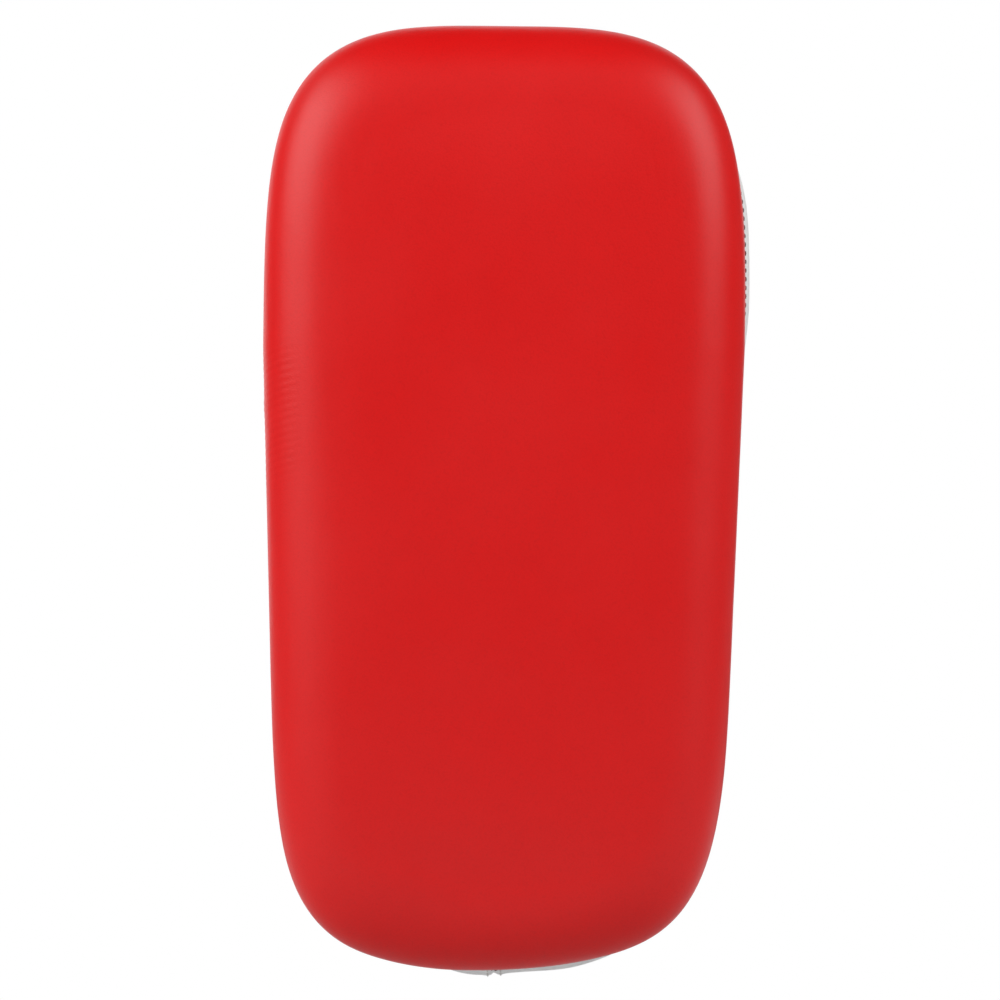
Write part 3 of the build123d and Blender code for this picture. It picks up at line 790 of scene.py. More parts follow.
def make_gusset():
    front, back = FRONT_SEAM_Y + 0.1 * MM, PIPING_LOW.y - 0.1 * MM
    rows = [RIM.row(GUSSET_INSET + 1.6 * MM, front - 0.2 * MM)]
    for share in (0.0, 0.06, 0.15, 0.28, 0.42, 0.56, 0.7, 0.83, 0.93, 1.0):
        rows.append(RIM.row(gusset_inset(share), front + (back - front) * share))
    rows.append(RIM.row(GUSSET_INSET + 1.8 * MM, back + 0.2 * MM))
    obj = shell("side_gusset_leather", RIM, rows, filled=False)
    reach = read_reach(obj.data)
    sewn = (reach < 4 * MM) | (reach > reach.max() - 6 * MM)
    swell(obj, sewn, pressure=2.0, cap=0.9 * MM)
    subdivide(obj, 2)
    points = read_points(obj.data)
    y, along = points[:, 1], RIM.along(points)
    amount = puckers(obj, 3.4 * MM, 0.42 * MM, 2.2 * MM, 21)
    amount -= bell(back - y - 2.2 * MM, 2.0 * MM) * 0.21 * MM * gathers(along, RIM_PITCH)
    amount += 0.35 * MM * ripple(points, 30 * MM, 22) * hump((front + back) / 2, 13 * MM, y)
    butt = along - BUTT_SEAM
    amount -= 0.9 * MM * bell(butt, 0.8 * MM)
    amount += 0.35 * MM * bell(np.abs(butt) - SEAM_SIDE, 1.6 * MM)
    press(obj, amount)
    return place(obj, WHITE, "white_leather", nodes=("side_gusset", "core_foam"), fill=0.85)


def make_piping():
    middle_y, radius = (PIPING_LOW.y + PIPING_HIGH.y) / 2, 1.95 * MM
    rows = []
    for degrees in range(-130, 131, 26):
        a = math.radians(degrees)
        inset = GUSSET_INSET - 0.1 * MM - radius * math.cos(a)
        rows.append(RIM.row(inset, middle_y + radius * math.sin(a)))
    obj = shell("back_piping_leather", RIM, rows, filled=False)
    subdivide(obj, 2)
    points = read_points(obj.data)
    wave = np.cos(TURN * RIM.along(points) / RIM_PITCH)
    press(obj, 0.10 * MM * wave + 0.12 * MM * ripple(points, 16 * MM, 31))
    place(obj, TRIM_WHITE, "trim_leather", nodes=("back_piping",))


def make_back_cover():
    rows = [
        RIM.row(GUSSET_INSET + inset * MM, BACK_SEAM_Y + up * MM)
        for inset, up in ((2.2, -0.4), (0.5, 0.4), (0.1, 1.6))
    ]
    roll = 5.2 * MM
    for angle in np.linspace(0.15, math.pi / 2, 7):
        inset = GUSSET_INSET + roll * (1 - math.cos(angle))
        rows.append(RIM.row(inset, BACK_Y - roll * (1 - math.sin(angle))))
    for inset in (9.0, 12.0, 15.0, 19.0):
        rows.append(RIM.row(GUSSET_INSET + inset * MM, BACK_Y))
    obj = shell("back_cover_leather", RIM, rows)
    subdivide(obj, 2)
    points, reach = read_points(obj.data), read_reach(obj.data)
    amount = puckers(obj, 3.2 * MM, 0.35 * MM, 2.4 * MM, 41)
    amount -= bell(reach - TOPSTITCH_REACH, 1.1 * MM) * 0.4 * MM
    flat = smooth(TOPSTITCH_REACH, TOPSTITCH_REACH + 12 * MM, reach)
    amount += np.minimum(0.16 * MM, flat * 0.16 * MM * ripple(points, 34 * MM, 42))
    press(obj, amount)
    return place(obj, WHITE, "white_leather", nodes=("back_cover", "backing_foam"), fill=0.35)


# ---- placing thread
def settle(obj, starts, directions):
    """Where rays meet a piece's surface, and the normals there; rays that miss are left out."""
    mesh = obj.data
    corners = [tuple(p.vertices) for p in mesh.polygons]
    tree = BVHTree.FromPolygons([v.co for v in mesh.vertices], corners)
    places, normals = [], []
    for start, direction in zip(starts, np.broadcast_to(directions, np.shape(starts))):
        hit, normal, _, _ = tree.ray_cast(Vector(start), Vector(direction))
        if hit is not None:
            places.append(tuple(hit))
            normals.append(tuple(normal if normal.dot(Vector(direction)) < 0 else -normal))
    return np.array(places), np.array(normals)


def dropped_stitches(obj, line, directions, sunk=0.0, pitch=STITCH_PITCH, closed=False):
    """Stitches along the line that a line of points meets when it moves on to a piece."""
    places, normals = settle(obj, line - np.asarray(directions) * CLEAR, directions)
    return stitch_places(places - normals * sunk, normals, pitch, closed)


def ring_stitches(obj, outline, inset, y, directions=None, **how):
    """A closed run of stitches round an outline, dropped on to a piece."""
    line, _ = evenly(outline.row(inset, y), 4 * outline.count, closed=True)
    if directions is None:
        directions = -np.repeat(outline.outward(), 4, axis=0)
    return dropped_stitches(obj, line, directions, closed=True, **how)


def dress_thread(name, runs, finish, slot, body="pad", **sizes):
    place(stitches(name, runs, **sizes), finish, slot, body)


def make_pad_thread(gusset, back):
    """Seam stitches in front and at the back, the back cover's topstitching and one knot."""
    behind_front = FRONT_SEAM_Y + (1.3 + 4.2 * RIGHT_SWELL + 2.2 * BOTTOM_SWELL) * MM
    seam = ring_stitches(gusset, RIM, 0.0, behind_front, sunk=0.05 * MM)
    sizes = {"length": 2.3 * MM, "radius": 0.34 * MM}
    dress_thread("front_seam_thread", [seam], DARK_THREAD_PAINTED_SHADE, "trim_leather", **sizes)
    runs = [ring_stitches(gusset, RIM, 0.0, PIPING_LOW.y - 2.2 * MM)]
    runs.append(ring_stitches(back, RIM, TOPSTITCH_INSET, BACK_Y, DOWN))
    bottom, upwards = FACE_LOW.z, (0.0, 0.0, 1.0)
    for x in (BUTT_X - SEAM_SIDE, BUTT_X + SEAM_SIDE):
        ends = [(x, FRONT_SEAM_Y + 3 * MM, bottom), (x, PIPING_LOW.y - 4 * MM, bottom)]
        runs.append(dropped_stitches(gusset, np.linspace(*ends, 60), upwards))
    dress_thread("pad_white_thread", runs, WHITE_THREAD, "trim_leather")
    knot = (-1.7 * MM, FRONT_SEAM_Y + 4.5 * MM, bottom - CLEAR)
    spot, up = settle(gusset, [knot], upwards)
    tails = []
    for turn, long in ((0.4, 3.2), (1.9, 2.4), (3.4, 2.8), (5.1, 2.2)):
        along = unit(np.array([math.cos(turn), 0.5 * math.sin(turn), -0.35]))
        tails.append((spot + along * long * 0.35 * MM + up * 0.2 * MM, along[None], up))
    sizes = {"length": 3.0 * MM, "radius": 0.45 * MM}
    dress_thread("gusset_thread_knot", tails, DARK_THREAD_PAINTED_SHADE, "trim_leather", **sizes)


# ---- the forearm cushion
CUSHION_SIZE = 24, 64  # columns and rows of its grid
CUSHION_OUTLINE = rounded_outline(
    (CUSHION_LOW.x, CUSHION_LOW.z), (CUSHION_HIGH.x, CUSHION_HIGH.z), 32 * MM, *CUSHION_SIZE
)
HEM = 6 * MM
HEM_STITCH_INSET, HEM_STITCH_REACH = 3 * MM, 4.6 * MM
CUSHION_MIDDLE = (CUSHION_LOW.z + CUSHION_HIGH.z) / 2
CHANNEL_X = 13 * MM  # two sewn channels run up and down, and three cross between them
CHANNEL_REACH = (CUSHION_HIGH.z - CUSHION_LOW.z) / 2 - 24 * MM
CROSS_CHANNELS = (-118 * MM, -157 * MM, -228 * MM)


def cushion_height(x):
    """The cushion's height above the back cover: a trough between two bolsters."""
    across = np.abs(x)
    bolster = 6.0 * smooth(4 * MM, 27 * MM, across) - 1.6 * smooth(31 * MM, 46 * MM, across)
    return (11.0 + bolster) * MM


def channel_gap(points):
    """Distance from the nearest sewn channel."""
    x, z = np.abs(points[:, 0]), points[:, 2]
    gap = np.abs(x - CHANNEL_X) + np.maximum(0, np.abs(z - CUSHION_MIDDLE) - CHANNEL_REACH)
    for line in CROSS_CHANNELS:
        gap = np.minimum(gap, np.abs(z - line) + np.maximum(0, x - CHANNEL_X))
    return gap


def channel_fade(points):
    """1 along the sewn channels, and less towards their upper and lower ends."""
    off = np.abs(points[:, 2] - CUSHION_MIDDLE)
    return 1 - smooth(CHANNEL_REACH - 12 * MM, CHANNEL_REACH + 3 * MM, off)


def cushion_rows(outline, base):
    """Rows from under the hem, over its rolled edge and up the cushion's wall."""
    rows = []
    for inset, height in (
        (0, 0), (0, 0.8), (0.3, 1.4), (1, 1.75), (2.4, 1.6), (3.6, 1.6), (4.8, 1.8), (5.9, 1.5)
    ):
        rows.append(outline.row(inset * MM, base + height * MM))
    roll, foot = 12 * MM, 3.2 * MM
    for angle in np.linspace(0, math.pi / 2, 9):
        row = outline.row(HEM + 0.3 * MM + roll * (1 - math.cos(angle) ** 0.9), 0.0)
        rise = (cushion_height(row[:, 0]) - foot) * math.sin(angle) ** 0.85
        row[:, 1] = base + foot + rise
        rows.append(row)
    return rows


def make_cushion():
    outline, base = CUSHION_OUTLINE, BACK_Y + 0.1 * MM
    obj = shell("forearm_cushion_leather", outline, cushion_rows(outline, base))
    points, reach = read_points(obj.data), read_reach(obj.data)
    inner = reach > reach.max() - 0.5 * MM
    points[inner, 1] = base + cushion_height(points[inner, 0])
    sewn = inner & (channel_gap(points) < 1.7 * MM)
    points[sewn, 1] -= 3.0 * MM * channel_fade(points[sewn])
    write_points(obj.data, points)
    swell(obj, (reach < 8.5 * MM) | sewn, pressure=3.5, cap=1.5 * MM, passes=4)
    subdivide(obj, 2)
    points, reach = read_points(obj.data), read_reach(obj.data)
    top, gap, edge = smooth(9 * MM, 20 * MM, reach), channel_gap(points), outline.along(points)
    amount = -top * 1.3 * MM * bell(gap, 1.5 * MM) * channel_fade(points)
    wave = np.sin(TURN * (points[:, 2] + 0.4 * points[:, 0]) / (5.3 * MM))
    uneven = 1 + 0.5 * ripple(points, 22 * MM, 61)
    amount += top * bell(gap - 3 * MM, 3 * MM) * 0.22 * MM * wave * uneven
    wave = np.sin(TURN * edge / (6.1 * MM))
    uneven = 0.6 + 0.6 * ripple(points, 30 * MM, 62)
    amount += bell(reach - 11 * MM, 4 * MM) * 0.3 * MM * wave * uneven
    amount += top * 0.2 * MM * ripple(points, 28 * MM, 63)
    amount -= bell(reach - HEM_STITCH_REACH, MM) * 0.2 * MM * gathers(edge, STITCH_PITCH)
    press(obj, amount)
    nodes = ("forearm_cushion_cover", "forearm_cushion_foam")
    place(obj, WHITE, "white_leather", nodes=nodes, fill=0.7)

    runs = [ring_stitches(obj, outline, HEM_STITCH_INSET, base, DOWN)]
    low, high = CUSHION_MIDDLE - CHANNEL_REACH, CUSHION_MIDDLE + CHANNEL_REACH
    lines = [((x, low), (x, high)) for x in (-CHANNEL_X, CHANNEL_X)]
    lines += [((-CHANNEL_X, z), (CHANNEL_X, z)) for z in CROSS_CHANNELS]
    for (x0, z0), (x1, z1) in lines:
        line = np.linspace((x0, base, z0), (x1, base, z1), 160)
        runs.append(dropped_stitches(obj, line, DOWN))
    dress_thread("cushion_thread", runs, WHITE_THREAD, "white_leather")


# ---- the hand grip
GRIP_RADIUS, GRIP_HALF = GRIP_HIGH.z, GRIP_HIGH.x
GRIP_SEAM = math.radians(112)
CUFF_STATIONS = (  # x past the grip's end, radius and depth of the pleats, in millimetres
    (-2.0, 17.2, 0), (-1.9, 17.9, 0), (-0.9, 18.3, 0.03), (0.8, 18.35, 0.05), (1.9, 17.95, 0.08),
    (3.0, 18.1, 0.2), (5.2, 17.2, 0.4), (7.4, 15.4, 0.6), (9.0, 13.0, 0.75), (9.9, 10.0, 0.8),
    (10.3, 6.8, 0.6), (10.2, 3.6, 0.3), (10.0, 0.04, 0),
)


def tube(name, stations, count):
    """A skin round the X axis. Each station is (x, radius); an array gives one radius an angle."""
    angle = np.arange(count) * TURN / count
    rings = []
    for x, radius in stations:
        ring = (np.full(count, x), radius * np.cos(angle), radius * np.sin(angle))
        rings.append(np.column_stack(ring))
    index = np.arange(len(rings) * count).reshape(len(rings), count)
    return new_mesh(name, np.vstack(rings), grid_faces(index, closed=True))


def grip_angle(points):
    """Angle round the grip from its seam, -pi to pi."""
    angle = np.arctan2(points[:, 2], points[:, 1]) - GRIP_SEAM
    return (angle + math.pi) % TURN - math.pi


def make_grip():
    flush, tucked = GRIP_HALF - 0.5 * MM, (GRIP_HALF + 0.5 * MM, GRIP_RADIUS - 2.2 * MM)
    stations = [(-tucked[0], tucked[1])]
    for x in np.linspace(-flush, flush, 34):
        fuller = 0.5 * MM * math.cos(x / GRIP_HALF * math.pi / 2)
        stations.append((x, GRIP_RADIUS - 0.5 * MM + fuller))
    stations.append(tucked)
    obj = tube("grip_leather", stations, 44)
    points = read_points(obj.data)
    sewn = np.abs(grip_angle(points)) < 0.08
    sewn |= np.abs(points[:, 0]) > GRIP_HALF - 2.5 * MM
    swell(obj, sewn, pressure=2.5, cap=0.8 * MM)
    subdivide(obj, 2)
    points = read_points(obj.data)
    turn = grip_angle(points) * GRIP_RADIUS
    amount = -0.9 * MM * bell(turn, 0.7 * MM)
    amount += 0.3 * MM * bell(np.abs(turn) - 2.4 * MM, 1.5 * MM)
    near_end = smooth(GRIP_HALF - 14 * MM, GRIP_HALF - MM, np.abs(points[:, 0]))
    pleats = np.sin(13 * grip_angle(points) + 3 * ripple(points, 40 * MM, 71))
    amount += near_end * 0.28 * MM * pleats
    amount += 0.16 * MM * ripple(points * [0.6, 1, 1], 12 * MM, 72)
    press(obj, amount)
    place(obj, STRAP_RED, "strap_leather", nodes=("grip_cover", "grip_padding"), fill=0.75)

    runs = []
    end = GRIP_HALF - 3 * MM
    for side in (-1, 1):
        a = GRIP_SEAM + side * SEAM_SIDE / GRIP_RADIUS
        out = np.array([0.0, math.cos(a), math.sin(a)])
        runs.append(dropped_stitches(obj, np.linspace((-end, 0, 0), (end, 0, 0), 90), -out))
    angle = np.arange(120) * TURN / 120
    out = np.column_stack([np.zeros(120), np.cos(angle), np.sin(angle)])
    for side, name in ((-1, "left"), (1, "right")):
        middle = np.array([side * (GRIP_HALF + 1.9 * MM), 0, 0])
        runs.append(dropped_stitches(make_cuff(side, name), middle, -out, closed=True))
    dress_thread("grip_thread", runs, WHITE_THREAD, "strap_leather")


def make_cuff(side, name):
    """A gathered collar that closes one end of the grip round its strap."""
    count = 72
    angle = np.arange(count) * TURN / count
    pleats = np.cos(12 * angle + 0.7 * np.sin(3 * angle))
    stations = [
        (side * (GRIP_HALF + x * MM), (radius + gather * pleats) * MM)
        for x, radius, gather in CUFF_STATIONS
    ]
    obj = tube(f"grip_cuff_{name}_leather", stations, count)
    subdivide(obj, 2)
    press(obj, 0.1 * MM * ripple(read_points(obj.data), 9 * MM, 75))
    return place(obj, STRAP_RED, "strap_leather", nodes=(f"grip_cuff_{name}",))


# ---- straps and patches
FOOT_GAP = 0.2 * MM  # between a foot and what it lies on
GRIP_STRAP, GRIP_STRAP_WIDTH, GRIP_STRAP_MARGIN = 3.2 * MM, 25 * MM, 3.2 * MM
PATCH_ROWS = (  # inset and height of a patch's rows, in millimetres
    (0.15, -0.35), (0, 0.3), (0, 1), (0.25, 1.45), (0.8, 1.72), (1.5, 1.6), (2.1, 1.5),
    (2.8, 1.62), (3.8, 1.76), (4.6, 1.78),
)


def band(name, node, path, z, section, seed, uneven=0.10 * MM, finish=None, body="pad", **ends):
    """A finished strap or tape: a ribbon with the small unevenness of sewn leather."""
    obj = ribbon(name, path, z, section, **ends)
    subdivide(obj, 1)
    points = read_points(obj.data)
    press(obj, uneven * (ripple(points, 24 * MM, seed) + 0.4 * ripple(points, 7 * MM, seed + 1)))
    finish, slot = finish or (STRAP_RED, "strap_leather")
    return place(obj, finish, slot, body, nodes=(node,))


def strap_stitches(path, middle_z, lift, run):
    """Stitches on a strap's face, from corners (distance along the strap, across it)."""
    steps = along_line(run)
    dense = np.linspace(0, steps[-1], max(8, int(steps[-1] / MM)))
    where, across = at(dense, steps, run).T
    along = along_line(path)
    moved, normal = lifted(path, lift)
    points = np.column_stack([at(where, along, moved), middle_z + across])
    up = unit(np.column_stack([at(where, along, normal), np.zeros(len(dense))]))
    return stitch_places(points, up * math.copysign(1, lift))


def make_grip_strap():
    foot = BACK_Y + FOOT_GAP + GRIP_STRAP / 2
    right = [(53 * MM, 0), (64 * MM, foot), (83.5 * MM, foot)]
    corners = [(-x, y) for x, y in reversed(right)] + right
    path = rounded_path(corners, [6 * MM, 11 * MM, 11 * MM, 6 * MM])
    section = strap_section(GRIP_STRAP_WIDTH, GRIP_STRAP, margin=GRIP_STRAP_MARGIN)
    band("grip_strap_leather", "grip_strap", path, 0.0, section, 81)
    runs = []
    length = along_line(path)[-1]
    half, lift = GRIP_STRAP_WIDTH / 2 - GRIP_STRAP_MARGIN, GRIP_STRAP / 2 - 0.14 * MM
    for across in (-half, half):
        for start, end in ((8 * MM, 60 * MM), (length - 60 * MM, length - 8 * MM)):
            for up in (lift, -lift):
                run = [(start, across), (end, across)]
                runs.append(strap_stitches(path, 0.0, up, run))
    dress_thread("grip_strap_thread", runs, WHITE_THREAD, "strap_leather")


def make_patch(node, x, z, seat, size, foot_half):
    """A leather patch over a sewn foot. Its ends come down to the back cover. Returns its stitches."""
    width, height = size
    corners = (x - width / 2, z - height / 2), (x + width / 2, z + height / 2)
    outline = rounded_outline(*corners, 5 * MM, 8, 24)
    rows = [outline.row(inset * MM, up * MM) for inset, up in PATCH_ROWS]
    obj = shell(f"{node}_leather", outline, rows)
    subdivide(obj, 2)
    points = read_points(obj.data)
    uneven = 0.08 * MM * ripple(points, 9 * MM, int(1000 * abs(x + z)) + 3)
    sag = smooth(foot_half + 0.2 * MM, height / 2 - 0.6 * MM, np.abs(points[:, 2] - z))
    points[:, 1] += BACK_Y + seat * (1 - sag) + 0.25 * MM * sag + uneven
    write_points(obj.data, points)
    place(obj, STRAP_RED, "strap_leather", nodes=(node,))
    return ring_stitches(obj, outline, 2.1 * MM, BACK_Y, DOWN, pitch=2.9 * MM)


# ---- the forearm straps
STRAP, STRAP_WIDTH, STRAP_MARGIN = 2.4 * MM, 46 * MM, 4 * MM
STITCH_LINE = STRAP_WIDTH / 2 - STRAP_MARGIN
TAPE, TAPE_WIDTH, TAPE_MARGIN = 1.4 * MM, 38 * MM, 2 * MM
KEEPER, KEEPER_WIDTH, KEEPER_BORE = 1.8 * MM, 40 * MM, 2.08 * MM
RING_LENGTH, WRAP, BODY_GAP = 16 * MM, 4.8 * MM, 0.3 * MM
RING_LEAN = math.radians(17.5)
RING_UP = np.array([-math.sin(RING_LEAN), math.cos(RING_LEAN)])
RING_OUT = np.array([math.cos(RING_LEAN), math.sin(RING_LEAN)])
INNER_BAR = np.array([59 * MM, BACK_Y + FOOT_GAP + KEEPER + KEEPER_BORE])
OUTER_BAR = INNER_BAR + RING_UP * RING_LENGTH
FOOT_EDGE = 81 * MM
END_UP = 0.3 * MM  # where the strap's body hands over to its tail
TAIL_LIFT = STRAP + 2 * TAPE + BODY_GAP
TAIL_TIP, TAIL_CORNER = 0.45, 14 * MM
TAPE_LIFT = (STRAP + TAPE) / 2 + 0.02 * MM


def from_bar(up, out):
    """A point in XY given from the ring's outer bar, along and across the ring."""
    return OUTER_BAR + RING_UP * up + RING_OUT * out


def strap_corners():
    """Corners and radii of the strap's path, from its sewn root until it has turned round the ring."""
    arch = [(-57, 36), (-40, 59), (-7, 69), (24.5, 61.5)]
    foot = BACK_Y + FOOT_GAP + STRAP / 2
    corners = [(-FOOT_EDGE, foot), (-64 * MM, foot)]
    corners += [(x * MM, BACK_Y + y * MM) for x, y in arch]
    for up, out in ((24 * MM, -WRAP), (-WRAP, -WRAP), (-WRAP, WRAP), (END_UP, WRAP)):
        corners.append(from_bar(up, out))
    corners = [np.array(c) for c in corners]
    radii = soft_radii(corners)
    radii[0], radii[-2:] = 5 * MM, [WRAP - 0.01 * MM] * 2
    return corners, radii


def moved_corners(corners, distance):
    """The corners of a path moved sideways, to its left where distance is positive."""
    moved = []
    for i, corner in enumerate(corners):
        normals = []
        for a, b in ((i - 1, i), (i, i + 1)):
            if 0 <= a and b < len(corners):
                run = unit(corners[b] - corners[a])
                normals.append(np.array([-run[1], run[0]]))
        normal = sum(normals) / len(normals)
        moved.append(corner + normal * distance / (normal @ normal))
    return moved


def part_of_strap(first, first_share, last, last_share, lift):
    """Corners of a layer over part of the strap, from inside run first to inside run last."""
    corners, _ = strap_corners()
    start = corners[first] + (corners[first + 1] - corners[first]) * first_share
    end = corners[last] + (corners[last + 1] - corners[last]) * last_share
    return moved_corners([start, *corners[first + 1 : last + 1], end], lift)


def tail_path():
    """The strap's free end, from the ring to its rounded tip."""
    corners = part_of_strap(3, TAIL_TIP, 6, 0.5, TAIL_LIFT)[::-1]
    hinge = from_bar(0.5 * MM + STRAP / 2 + BODY_GAP, WRAP)
    return soft_path([from_bar(END_UP, WRAP), hinge + RING_UP * 1.2 * MM, *corners[1:]])


def keeper_path():
    """The loop of leather that holds the ring, from one end of its foot to the other."""
    low = BACK_Y + FOOT_GAP + KEEPER / 2
    turn = KEEPER_BORE + KEEPER / 2
    left, high, lid = INNER_BAR[0] - turn, low + 2 * turn, low + KEEPER + FOOT_GAP
    top, foot = INNER_BAR[0] + 3 * MM, INNER_BAR[0] + 9 * MM
    corners = [(FOOT_EDGE, low), (left, low), (left, high)]
    corners += [(top, high), (foot, lid), (FOOT_EDGE, lid)]
    return rounded_path(corners, [turn - 0.05 * MM, turn - 0.05 * MM, 3 * MM, 4 * MM])


def tail_border(length):
    """Corners of the tail's row of stitches: along one side, round its tip and back."""
    radius = TAIL_CORNER - STRAP_MARGIN
    arc = []
    for degrees in range(0, 91, 15):
        a = math.radians(degrees)
        across = STRAP_WIDTH / 2 - TAIL_CORNER + radius * math.cos(a)
        arc.append((length - TAIL_CORNER + radius * math.sin(a), across))
    back = [(along, -across) for along, across in reversed(arc)]
    return [(5 * MM, STITCH_LINE), *arc, *back, (5 * MM, -STITCH_LINE)]


def make_tape(name, kind, corners, z, finish, body, lift, seed):
    """A piece of hook or loop tape. Returns the stitches that go all round it."""
    path = soft_path(corners)
    section = strap_section(TAPE_WIDTH, TAPE, groove=0.12 * MM, margin=TAPE_MARGIN)
    piece, node, finish = f"{name}_{kind}_fabric", f"{name}_{kind}_tape", (finish, f"{kind}_tape")
    band(piece, node, path, z, section, seed, 0.07 * MM, finish, body)
    end, half = along_line(path)[-1] - 2 * MM, TAPE_WIDTH / 2 - TAPE_MARGIN
    box = [(2 * MM, -half), (end, -half), (end, half), (2 * MM, half), (2 * MM, -half)]
    return strap_stitches(path, z, lift, box)


def make_tail(name, z, section, top, seed):
    """The strap's free end and its thread."""
    path = tail_path()
    piece, node, ends = f"{name}_tail_leather", f"{name}_strap_tail", {"open_start": True}
    tail = band(piece, node, path, z, section, seed, body=None, tip=TAIL_CORNER, **ends)
    border = tail_border(along_line(path)[-1])
    runs = [strap_stitches(path, z, lift, border) for lift in (-top, top)]
    sewn = stitches(f"{name}_tail_thread", runs)
    place(sewn, WHITE_THREAD, "strap_leather", body=None)
    for obj in (tail, sewn):
        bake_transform(obj)


def make_keeper(name, z, seed):
    """The keeper that ties the ring to the pad. Returns its stitches."""
    path = keeper_path()
    section = strap_section(KEEPER_WIDTH, KEEPER, groove=0.15 * MM, margin=3 * MM)
    piece, node = f"{name}_keeper_leather", f"{name}_ring_keeper"
    band(piece, node, path, z, section, seed, 0.07 * MM, step=MM)
    end = along_line(path)[-1]
    runs = []
    for start, stop, lift in (
        ((end - 33 * MM, -17 * MM), (end - 12 * MM, -17 * MM), 0.1 * MM),
        ((end - 33 * MM, 17 * MM), (end - 12 * MM, 17 * MM), 0.1 * MM),
        ((end - 14 * MM, -16 * MM), (end - 14 * MM, 16 * MM), 0.03 * MM),
    ):
        runs.append(strap_stitches(path, z, lift - KEEPER / 2, [start, stop]))
    return runs


def make_forearm_strap(name, seed):
    z = (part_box(f"{name}_strap")[0].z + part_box(f"{name}_strap")[1].z) / 2
    body = f"{name}_tail"
    section = strap_section(STRAP_WIDTH, STRAP, margin=STRAP_MARGIN)
    top = STRAP / 2 - 0.12 * MM

    path = rounded_path(*strap_corners())
    band(f"{name}_strap_leather", f"{name}_strap", path, z, section, seed, open_end=True)
    length = along_line(path)[-1]
    runs = []
    for across in (-STITCH_LINE, STITCH_LINE):
        for lift in (top, -top):
            run = [(14 * MM, across), (length - 22 * MM, across)]
            runs.append(strap_stitches(path, z, lift, run))
    make_tail(name, z, section, top, seed)

    sunk = TAPE / 2 - 0.05 * MM
    corners = part_of_strap(2, 0.5, 5, 0.5, TAPE_LIFT)
    loop = make_tape(name, "loop", corners, z, LOOP_BLACK, "pad", sunk, seed + 3)
    corners = part_of_strap(3, 0.5, 5, 0.5, TAIL_LIFT - TAPE_LIFT)
    hook = make_tape(name, "hook", corners, z, HOOK_BLACK, body, -sunk, seed + 5)
    dress_thread(f"{name}_loop_thread", [loop], BLACK_THREAD, "loop_tape")
    dress_thread(f"{name}_hook_thread", [hook], BLACK_THREAD, "hook_tape", body)

    runs += make_keeper(name, z, seed + 7)
    for kind, x, seat, size, foot_half in (
        ("keeper", FOOT_EDGE - 6 * MM, 3 * FOOT_GAP + 2 * KEEPER, (12 * MM, 46 * MM), 20 * MM),
        ("root", 6.5 * MM - FOOT_EDGE, 2 * FOOT_GAP + STRAP, (13 * MM, 52 * MM), 23 * MM),
    ):
        runs.append(make_patch(f"{name}_{kind}_patch", x, z, seat, size, foot_half))
    dress_thread(f"{name}_strap_thread", runs, WHITE_THREAD, "strap_leather")


# ---- stage
def make_floor(size=4.5, level=-0.78):
    """A wide pale floor, well below the pad, which hangs by its grip. Its glow is painted light: dim
    under the pad as a painted shadow, and brighter further out.
    """
    corners = [(-size, -size, 0), (size, -size, 0), (size, size, 0), (-size, size, 0)]
    mesh = bpy.data.meshes.new("floor")
    mesh.from_pydata(corners, [], [(0, 1, 2, 3)])
    obj = bpy.data.objects.new("floor", mesh)
    obj.location.z = level
    bpy.context.scene.collection.objects.link(obj)
    f = Finish("pale floor with painted shadow").set(Base_Color=(0.5, 0.5, 0.5, 1.0), Specular_IOR_Level=0.1, Roughness=0.9)
    away = f.node("VectorMath", {0: f.place}, operation="LENGTH")["Value"]
    # Emission rises with distance from the middle: a painted shadow under the pad and a painted glow
    # further out.
    f.set(Emission_Color=(1.0, 1.0, 1.0, 1.0), Emission_Strength=f.span(away, 0.04, 0.9, 0.4, 4.3))
    obj.data.materials.append(f.material)


def make_world(brightness):
    """White behind the pad as the camera sees it, and a dimmer light from all round."""
    world = bpy.data.worlds.new("studio")
    bpy.context.scene.world = world
    world.use_nodes = True
    nodes, links = world.node_tree.nodes, world.node_tree.links
    seen = nodes.new("ShaderNodeLightPath").outputs["Is Camera Ray"]
    strength = nodes.new("ShaderNodeMapRange")
    strength.inputs["To Min"].default_value = brightness
    strength.inputs["To Max"].default_value = 1.0
    links.new(seen, strength.inputs["Value"])
    background = nodes["Background"]
    background.inputs["Color"].default_value = (1.0, 1.0, 1.0, 1.0)
    links.new(strength.outputs[0], background.inputs["Strength"])


def make_light(name, spot, target, size, power):
    """A soft rectangular light that the camera doesn't see."""
    data = bpy.data.lights.new(name, "AREA")
    data.shape, data.energy = "RECTANGLE", power
    data.size, data.size_y = size
    obj = bpy.data.objects.new(name, data)
    obj.visible_camera = False
    obj.location = spot
    obj.rotation_euler = (Vector(target) - Vector(spot)).to_track_quat("-Z", "Y").to_euler()
    bpy.context.scene.collection.objects.link(obj)


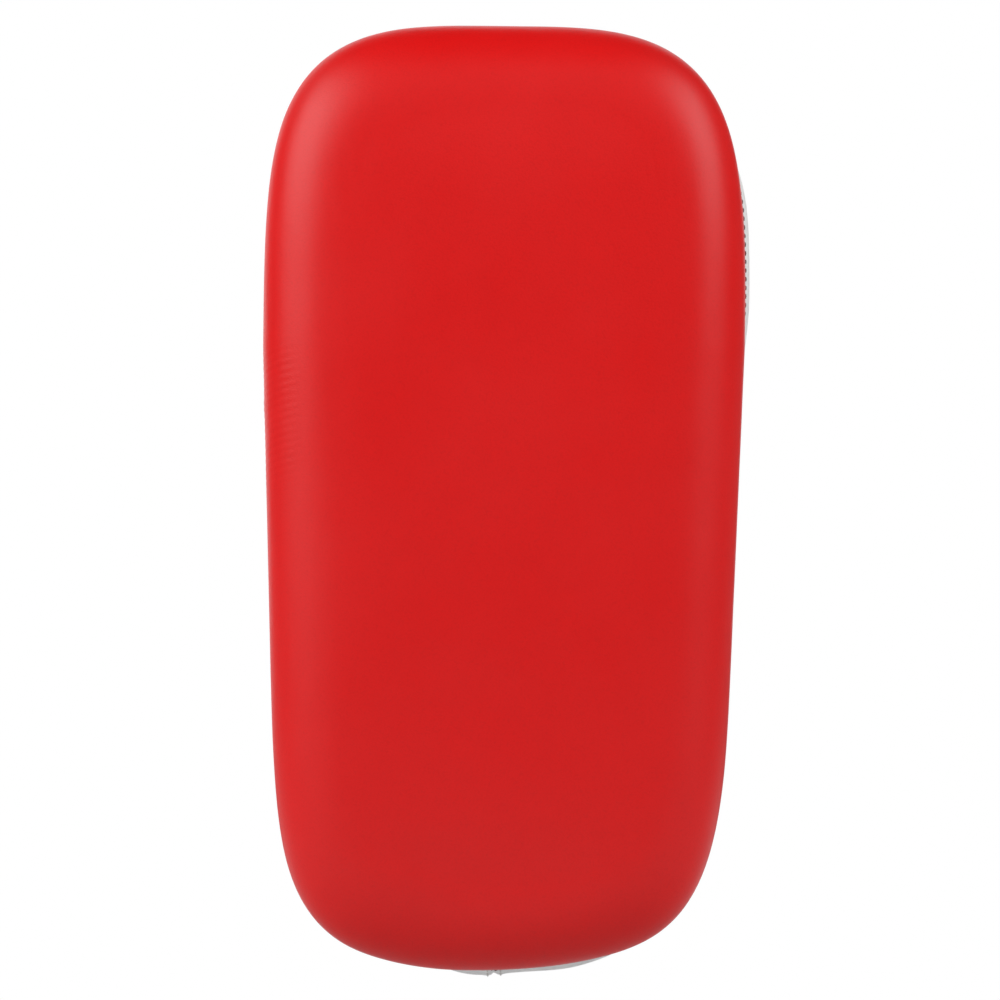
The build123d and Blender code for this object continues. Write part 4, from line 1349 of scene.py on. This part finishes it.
def make_camera(distance, frame_height, azimuth, elevation, roll, aim):
    """The photograph's view: a long lens, nearly square on to the striking face."""
    data = bpy.data.cameras.new("camera")
    data.sensor_width = 36.0
    data.lens = data.sensor_width * distance / frame_height
    data.clip_end = 100.0
    camera = bpy.data.objects.new("camera", data)
    a, e = math.radians(azimuth), math.radians(elevation)
    back = Vector((math.sin(a) * math.cos(e), -math.cos(a) * math.cos(e), math.sin(e)))
    camera.location = Vector(aim) + back * distance
    turned = (-back).to_track_quat("-Z", "Y") @ Quaternion((0.0, 0.0, 1.0), math.radians(roll))
    camera.rotation_euler = turned.to_euler()
    bpy.context.scene.collection.objects.link(camera)
    bpy.context.scene.camera = camera


# ---- everything
make_front_cover()
gusset = make_gusset()
make_piping()
back_cover = make_back_cover()
make_pad_thread(gusset, back_cover)
make_cushion()
make_grip()
make_grip_strap()
grip_runs = []
for name, patch_x in (("left", -76.5 * MM), ("right", 76.5 * MM)):
    seat, size = 2 * FOOT_GAP + GRIP_STRAP, (14 * MM, 34 * MM)
    grip_runs.append(make_patch(f"grip_patch_{name}", patch_x, 0.0, seat, size, 12.5 * MM))
dress_thread("grip_patch_thread", grip_runs, WHITE_THREAD, "strap_leather")
for name, first_seed in (("upper", 100), ("lower", 120)):
    make_forearm_strap(name, first_seed)
for node, finish, slot in (
    ("upper_ring", CHROME, "plated_steel"),
    ("lower_ring", CHROME, "plated_steel"),
    ("rivets", CHROME, "plated_steel"),
    ("rivet_washers", DULL_STEEL, "plated_steel"),
    ("stiffener_board", BOARD, "fibreboard"),
):
    dress(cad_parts[node], finish)

make_floor()
make_world(0.12)
make_light("left", (-1.7, -1.0, 0.9), target=(0, -0.5, 0.0), size=(1.7, 1.5), power=37)
make_light("right", (1.7, -0.9, 1.05), target=(0, -0.4, 0.0), size=(1.6, 1.5), power=30)
make_light("front", (0, -4.0, 2.4), target=(0, -0.1, -0.1), size=(5.0, 3.0), power=21)
make_light("behind", (-0.6, 3.0, 1.1), target=(0, 0, -0.1), size=(4.0, 3.0), power=40)
make_camera(
    distance=3.0, frame_height=0.4010, azimuth=1.2, elevation=-1.2, roll=0.6,
    aim=(-0.0007, -0.1, MIDDLE_Z - 0.0009),
)
bpy.context.scene.view_settings.view_transform = "Standard"
